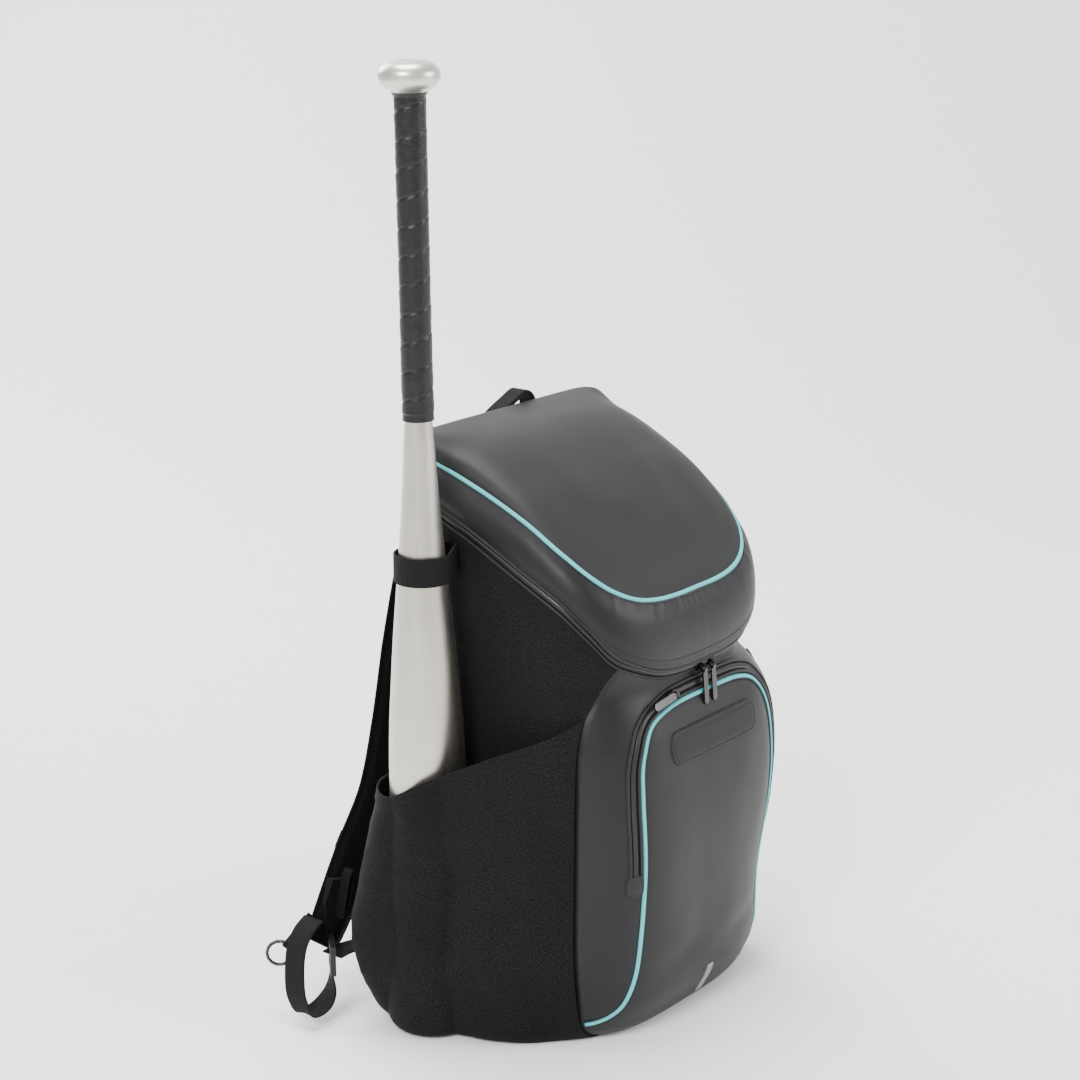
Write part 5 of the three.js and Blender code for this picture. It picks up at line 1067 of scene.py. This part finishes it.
def make_webbings():
    tail = np.array([
        (BUCKLE[0] - out * TAIL_SPREAD, BUCKLE[1] - lean * TAIL_LEAN, BUCKLE[2] - drop * TAIL_DROP)
        for out, drop, lean in TAIL
    ])
    tail = even_path(smooth_path(tail, 200), 1.5)
    turn = math.radians(46)
    axis = np.array([math.cos(turn), math.sin(turn), 0])
    share = np.linspace(0, 1, len(tail))
    width = Y + (axis - Y) * smooth(share, 0.65, 1)[:, None]
    tangent = unit(np.gradient(tail, axis=0))
    hint = np.cross(tangent, width)
    foot = body_point(144.0, 42.0, PAD + 2 * CLEARANCE + WEBBING_THICKNESS / 2)
    beside = foot + (BUCKLE - foot) * 0.2
    beside[1] = foot[1]
    near = BUCKLE + np.array([BUCKLE_LENGTH / 2, 0, 0])
    lower = even_path(smooth_path([BUCKLE, near, beside, foot], 100), 1.5)
    lower_share = np.linspace(0, 1, len(lower))
    lower_hint = Z + (Y - Z) * smooth(lower_share, 0.2, 0.8)[:, None]
    about = {"width": TAIL_WIDTH, "material": STRAP_WEBBING, "slot": "webbing"}
    for name, mirror in (("left", False), ("right", True)):
        for piece, node, path, face in (
            ("tail_webbing", "webbing_tail", tail, hint), ("foot_band", "foot_webbing", lower, lower_hint),
        ):
            webbing(
                f"{piece}_{name}", place(path, mirror), place(face, mirror),
                replaces=[f"{node}_{name}"], **about,
            )


def make_handle():
    foot = 0.9 * HEIGHT - 4
    back = 1.035 * BACK + CLEARANCE + 9
    arch = np.array([
        (across * HANDLE_SPREAD, back, foot + rise * HANDLE_RISE) for across, rise in HANDLE_ARCH
    ])
    path = even_path(smooth_path(arch, 200), 1.5)
    tangent = unit(np.gradient(path, axis=0))
    webbing(
        "handle_webbing", path, np.cross(tangent, Y), width=18, thickness=4,
        material=STRAP_WEBBING, slot="webbing", replaces=["top_handle"],
    )


# Bat

BAT_MATRIX = np.array(
    Matrix.Translation((-BAT_OUT, BAT_BACK, BAT_FOOT))
    @ Matrix.Rotation(-TILT_X, 4, "X")
    @ Matrix.Rotation(-TILT_Y, 4, "Y")
)
GRIP_TOP = BAT_LENGTH - KNOB_HEIGHT
GRIP_START = GRIP_TOP - GRIP_LENGTH


def on_bat(points):
    return points @ BAT_MATRIX[:3, :3].T + BAT_MATRIX[:3, 3]


def profile_radius(rows, along, column, size):
    """Radius from a profile in shares of a size of its own and of the handle's."""
    own, handle = (look_up(rows, "along", along, name) for name in (column, "handle"))
    return own * size + handle * HANDLE


def bat_radius(height):
    return profile_radius(BAT, np.asarray(height, float) / BAT_LENGTH, "barrel", BARREL)


def turned(name, heights, radii, sides=96, **about):
    turn = -np.radians(np.arange(sides) * 360 / sides)
    radii = radii if np.ndim(radii) == 2 else radii[:, None]
    ring = np.broadcast_arrays(radii * np.cos(turn), radii * np.sin(turn), heights[:, None])
    grid(name, on_bat(np.stack(ring, axis=-1)), closed=True, **about)


def make_barrel():
    foot = 12.3
    heights = np.linspace(foot, GRIP_START + 3, 160)
    radii = bat_radius(heights)
    heights, radii = np.concatenate([[foot], heights]), np.concatenate([[4], radii])
    turned("bat_barrel", heights, radii, material=ALLOY, slot="bat_alloy", replaces=["bat_tube"])
    heights = np.array([0, 0, 0, 1.6, 4.2, 8, 12, 12])
    radii = np.array([0.3, 0.7, 0.86, 0.93, 1, 1, 0.99, 0.5]) * bat_radius(0)
    turned("bat_cap", heights, radii, material=CAP, slot="bat_cap", replaces=["bat_end_cap"])


def make_grip():
    """A tape wound upwards, each turn lapping the one below, with a band at its lower end."""
    sides, lead = 56, 24
    heights = np.linspace(GRIP_START, GRIP_TOP + 3.4, 430)
    rise, turn = heights[:, None], np.arange(sides)[None] * 360 / sides
    phase = np.mod(rise / lead + turn / 360, 1)
    wrap = 1.9 - 0.75 * smooth(phase, 0.82, 0.97) * (1 - smooth(phase, 0.97, 1)) + 0.25 * phase
    round_turn = np.radians(turn)
    at = (HANDLE * np.cos(round_turn), HANDLE * np.sin(round_turn), rise)
    at = np.stack(np.broadcast_arrays(*at), axis=-1)
    wrap = wrap + 0.22 * noise(at, (5, 5, 7), 51) + 0.12 * creases(at, (6, 6, 3.5), 52)
    band = smooth(GRIP_START + 7 - rise, 0, 1)
    wrap = wrap * (1 - band) + 1.55 * band
    flare = 2.2 * smooth(rise, GRIP_TOP - 2, GRIP_TOP + 3.4)
    radii = bat_radius(rise) + CLEARANCE + wrap + flare
    heights = np.concatenate([[GRIP_START], heights, [GRIP_TOP + 3.5]])
    radii = np.concatenate([radii[:1] - 2, radii, radii[-1:] - 2])
    turned("bat_wrap", heights, radii, sides, material=GRIP, slot="bat_grip", replaces=["bat_grip"])


def make_knob():
    along = np.linspace(0, 1, 60)
    foot = GRIP_TOP + CLEARANCE
    radii = profile_radius(KNOB_PROFILE, along, "knob", KNOB)
    heights = foot + along * (BAT_LENGTH - foot)
    crown = np.array([0.97, 0.9, 0.6, 0.3, 0.02]) * radii[-1]
    heights = np.concatenate([[foot], heights, BAT_LENGTH + np.array([0.25, 0.3, 0.1, 0, 0])])
    radii = np.concatenate([[4], radii, crown])
    turned("bat_pommel", heights, radii, material=KNOB_ALLOY, slot="bat_alloy", replaces=["bat_knob"])


def make_bat_strap():
    height = 425
    up = height - BAT_FOOT
    middle = np.array([-BAT_OUT - up * math.tan(TILT_Y), BAT_BACK + up * math.tan(TILT_X)])
    radius = float(bat_radius(up - WEBBING / 2)) + 0.75 + WEBBING_THICKNESS / 2
    tip = np.array([-HALF_WIDTH * 0.9, middle[1]])
    away = tip - middle
    opening = math.acos(radius / np.hypot(*away))
    start = math.atan2(away[1], away[0]) + opening
    turn = start + np.linspace(0, 1, 90) * (2 * math.pi - 2 * opening)
    arc = middle + radius * np.stack([np.cos(turn), np.sin(turn)], axis=1)
    leaving = tip + (arc[0] - tip) * np.linspace(0.1, 0.98, 14)[:, None]
    returning = arc[-1] + (tip - arc[-1]) * np.linspace(0.02, 0.9, 14)[:, None]
    flat = np.concatenate([leaving, arc, returning])
    path = np.pad(flat, ((0, 0), (0, 1)), constant_values=height)
    radial = np.pad(unit(flat - middle), ((0, 0), (0, 1)))
    webbing("bat_loop", path, radial, material=STRAP_WEBBING, slot="webbing", replaces=["bat_strap"])


# Front plate and tab

def relief(name, half, low, high, corner, height, material, centre=0.0, **about):
    """A rounded raised plate on the front cloth, with a sunk line inside its edge."""
    margin, spacing = 1.2, 0.68
    middle, tall = (low + high) / 2, (high - low) / 2
    columns, rows = (int(2 * size / spacing) + 16 for size in (half, tall))
    x = np.linspace(-half - margin, half + margin, columns)[None]
    z = np.linspace(low - margin, high + margin, rows)[:, None]
    dx, dz = np.abs(x) - half + corner, np.abs(z - middle) - tall + corner
    outside = np.hypot(np.maximum(dx, 0), np.maximum(dz, 0)) - corner
    outside = outside + np.minimum(np.maximum(dx, dz), 0)
    rise = height * smooth(-outside, -0.3, 0.9) - 0.45 * bump(outside + 3.2, 1.1)
    x, z, rise = np.broadcast_arrays(x + centre, z, rise - 1.2 * smooth(outside, 0, 1))
    points = on_front(x, z, panel_lift(x, z) + rise)
    grid(name, points[:, ::-1], material=material, **about)


def make_front_trim():
    top = 0.575 * HEIGHT - PIPING_RADIUS - 19
    relief("front_plate", 65, top - 30, top, 11, 1.6, PLATE, slot="plate_rubber", replaces=["name_plate"])
    for name, side in (("left", -1), ("right", 1)):
        about = {"centre": side * 108, "slot": "coated_panels"}
        relief(f"zip_end_{name}", 8, 143, 164, 7.5, 2.4, COATED, **about)
    relief("front_tab", 4.5, 13, 43, 1, 1.3, REFLECTIVE, slot="reflective", replaces=["reflective_tab"])


# What keeps its CAD shape, with its edges rounded

def round_edges(node, width, material):
    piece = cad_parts[node]
    piece.data.materials.clear()
    piece.data.materials.append(material)
    edges = piece.modifiers.new("edges", "BEVEL")
    edges.width, edges.segments = width, 2
    edges.limit_method, edges.angle_limit = "ANGLE", math.radians(35)


def keep_nodes():
    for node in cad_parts:
        if "slider" in node and "chest" not in node or node.endswith("_pull") or "hood_pull" in node:
            round_edges(node, 0.4 * MM, NICKEL)
        elif node.startswith(("strap_buckle", "chest_slider")):
            round_edges(node, 0.7 * MM, PLASTIC)
        elif node.startswith(("strap_patch", "webbing_loop", "ring_tab")):
            round_edges(node, 0.4 * MM, STRAP_WEBBING)
        elif node == "accessory_ring":
            round_edges(node, 0.2 * MM, NICKEL)


# Stage

CAMERA_YAW, CAMERA_PITCH = math.radians(52), math.radians(15.8)


def make_stage():
    """A pale floor, in metres, that curves up into a wall behind the pack."""
    near, far, radius, half, tall = -6.0, 1.6, 1.2, 7.0, 5.0
    turn = np.radians(np.linspace(0, 90, 24))
    profile = [(near, 0.0)]
    profile += [(far + radius * math.sin(t), radius * (1 - math.cos(t))) for t in turn]
    profile += [(far + radius, tall)]
    rows = np.array([[(x, y, z) for x in (-half, half)] for y, z in profile])
    mesh = bpy.data.meshes.new("floor")
    faces = grid_faces(len(rows), 2)
    mesh.from_pydata(rows.reshape(-1, 3).tolist(), [], faces.tolist())
    floor = bpy.data.objects.new("floor", mesh)
    bpy.context.scene.collection.objects.link(floor)
    floor.rotation_euler = (0, 0, -CAMERA_YAW)
    for polygon in mesh.polygons:
        polygon.use_smooth = True
    mesh.materials.append(new_material("pale_floor", (0.94, 0.94, 0.94), 0.9, specular=0.1))


def area_light(name, location, target, size, energy):
    data = bpy.data.lights.new(name, "AREA")
    data.shape, data.size, data.energy = "DISK", size, energy
    light = bpy.data.objects.new(name, data)
    light.location = location
    light.rotation_euler = (Vector(target) - Vector(location)).to_track_quat("-Z", "Y").to_euler()
    bpy.context.scene.collection.objects.link(light)


def make_lights():
    world = bpy.data.worlds.new("studio")
    world.use_nodes = True
    background = world.node_tree.nodes["Background"]
    background.inputs["Color"].default_value = (1, 1, 1, 1)
    background.inputs["Strength"].default_value = 1.05
    bpy.context.scene.world = world
    aim = (-0.02, 0, 0.35)
    area_light("key", (-2.6, -0.6, 2.3), aim, 1.3, 95)
    area_light("fill", (1.4, -2.6, 1.5), aim, 1.6, 60)
    area_light("top", (0.1, 0.5, 2.9), aim, 1.4, 75)
    area_light("back", (0.6, 2.4, 1.8), aim, 1.6, 60)


def make_camera():
    level = math.cos(CAMERA_PITCH)
    ahead = Vector((
        math.sin(CAMERA_YAW) * level, math.cos(CAMERA_YAW) * level, -math.sin(CAMERA_PITCH),
    ))
    data = bpy.data.cameras.new("camera")
    data.lens, data.sensor_width = 83.33, 36
    camera = bpy.data.objects.new("camera", data)
    camera.location = (-1.724, -1.286, 1.025)
    camera.rotation_mode = "QUATERNION"
    camera.rotation_quaternion = ahead.to_track_quat("-Z", "Y")
    bpy.context.scene.collection.objects.link(camera)
    bpy.context.scene.camera = camera


HELD_BAT = {"side": 1, "out": BAT_OUT, "back": BAT_BACK, "radius": BARREL}
EMPTY_ROLL = {"side": -1, "out": HALF_WIDTH + 4, "back": BAT_BACK, "radius": 13}

make_body()
make_front()
make_hood()
make_piping()
make_front_zip()
make_hood_zip()
make_pocket("pocket_cloth_left", HELD_BAT, "side_pocket_left")
make_pocket("pocket_cloth_right", EMPTY_ROLL, "side_pocket_right")
make_back()
make_straps()
make_webbings()
make_handle()
make_barrel()
make_grip()
make_knob()
make_bat_strap()
make_front_trim()
keep_nodes()
make_stage()
make_lights()
make_camera()
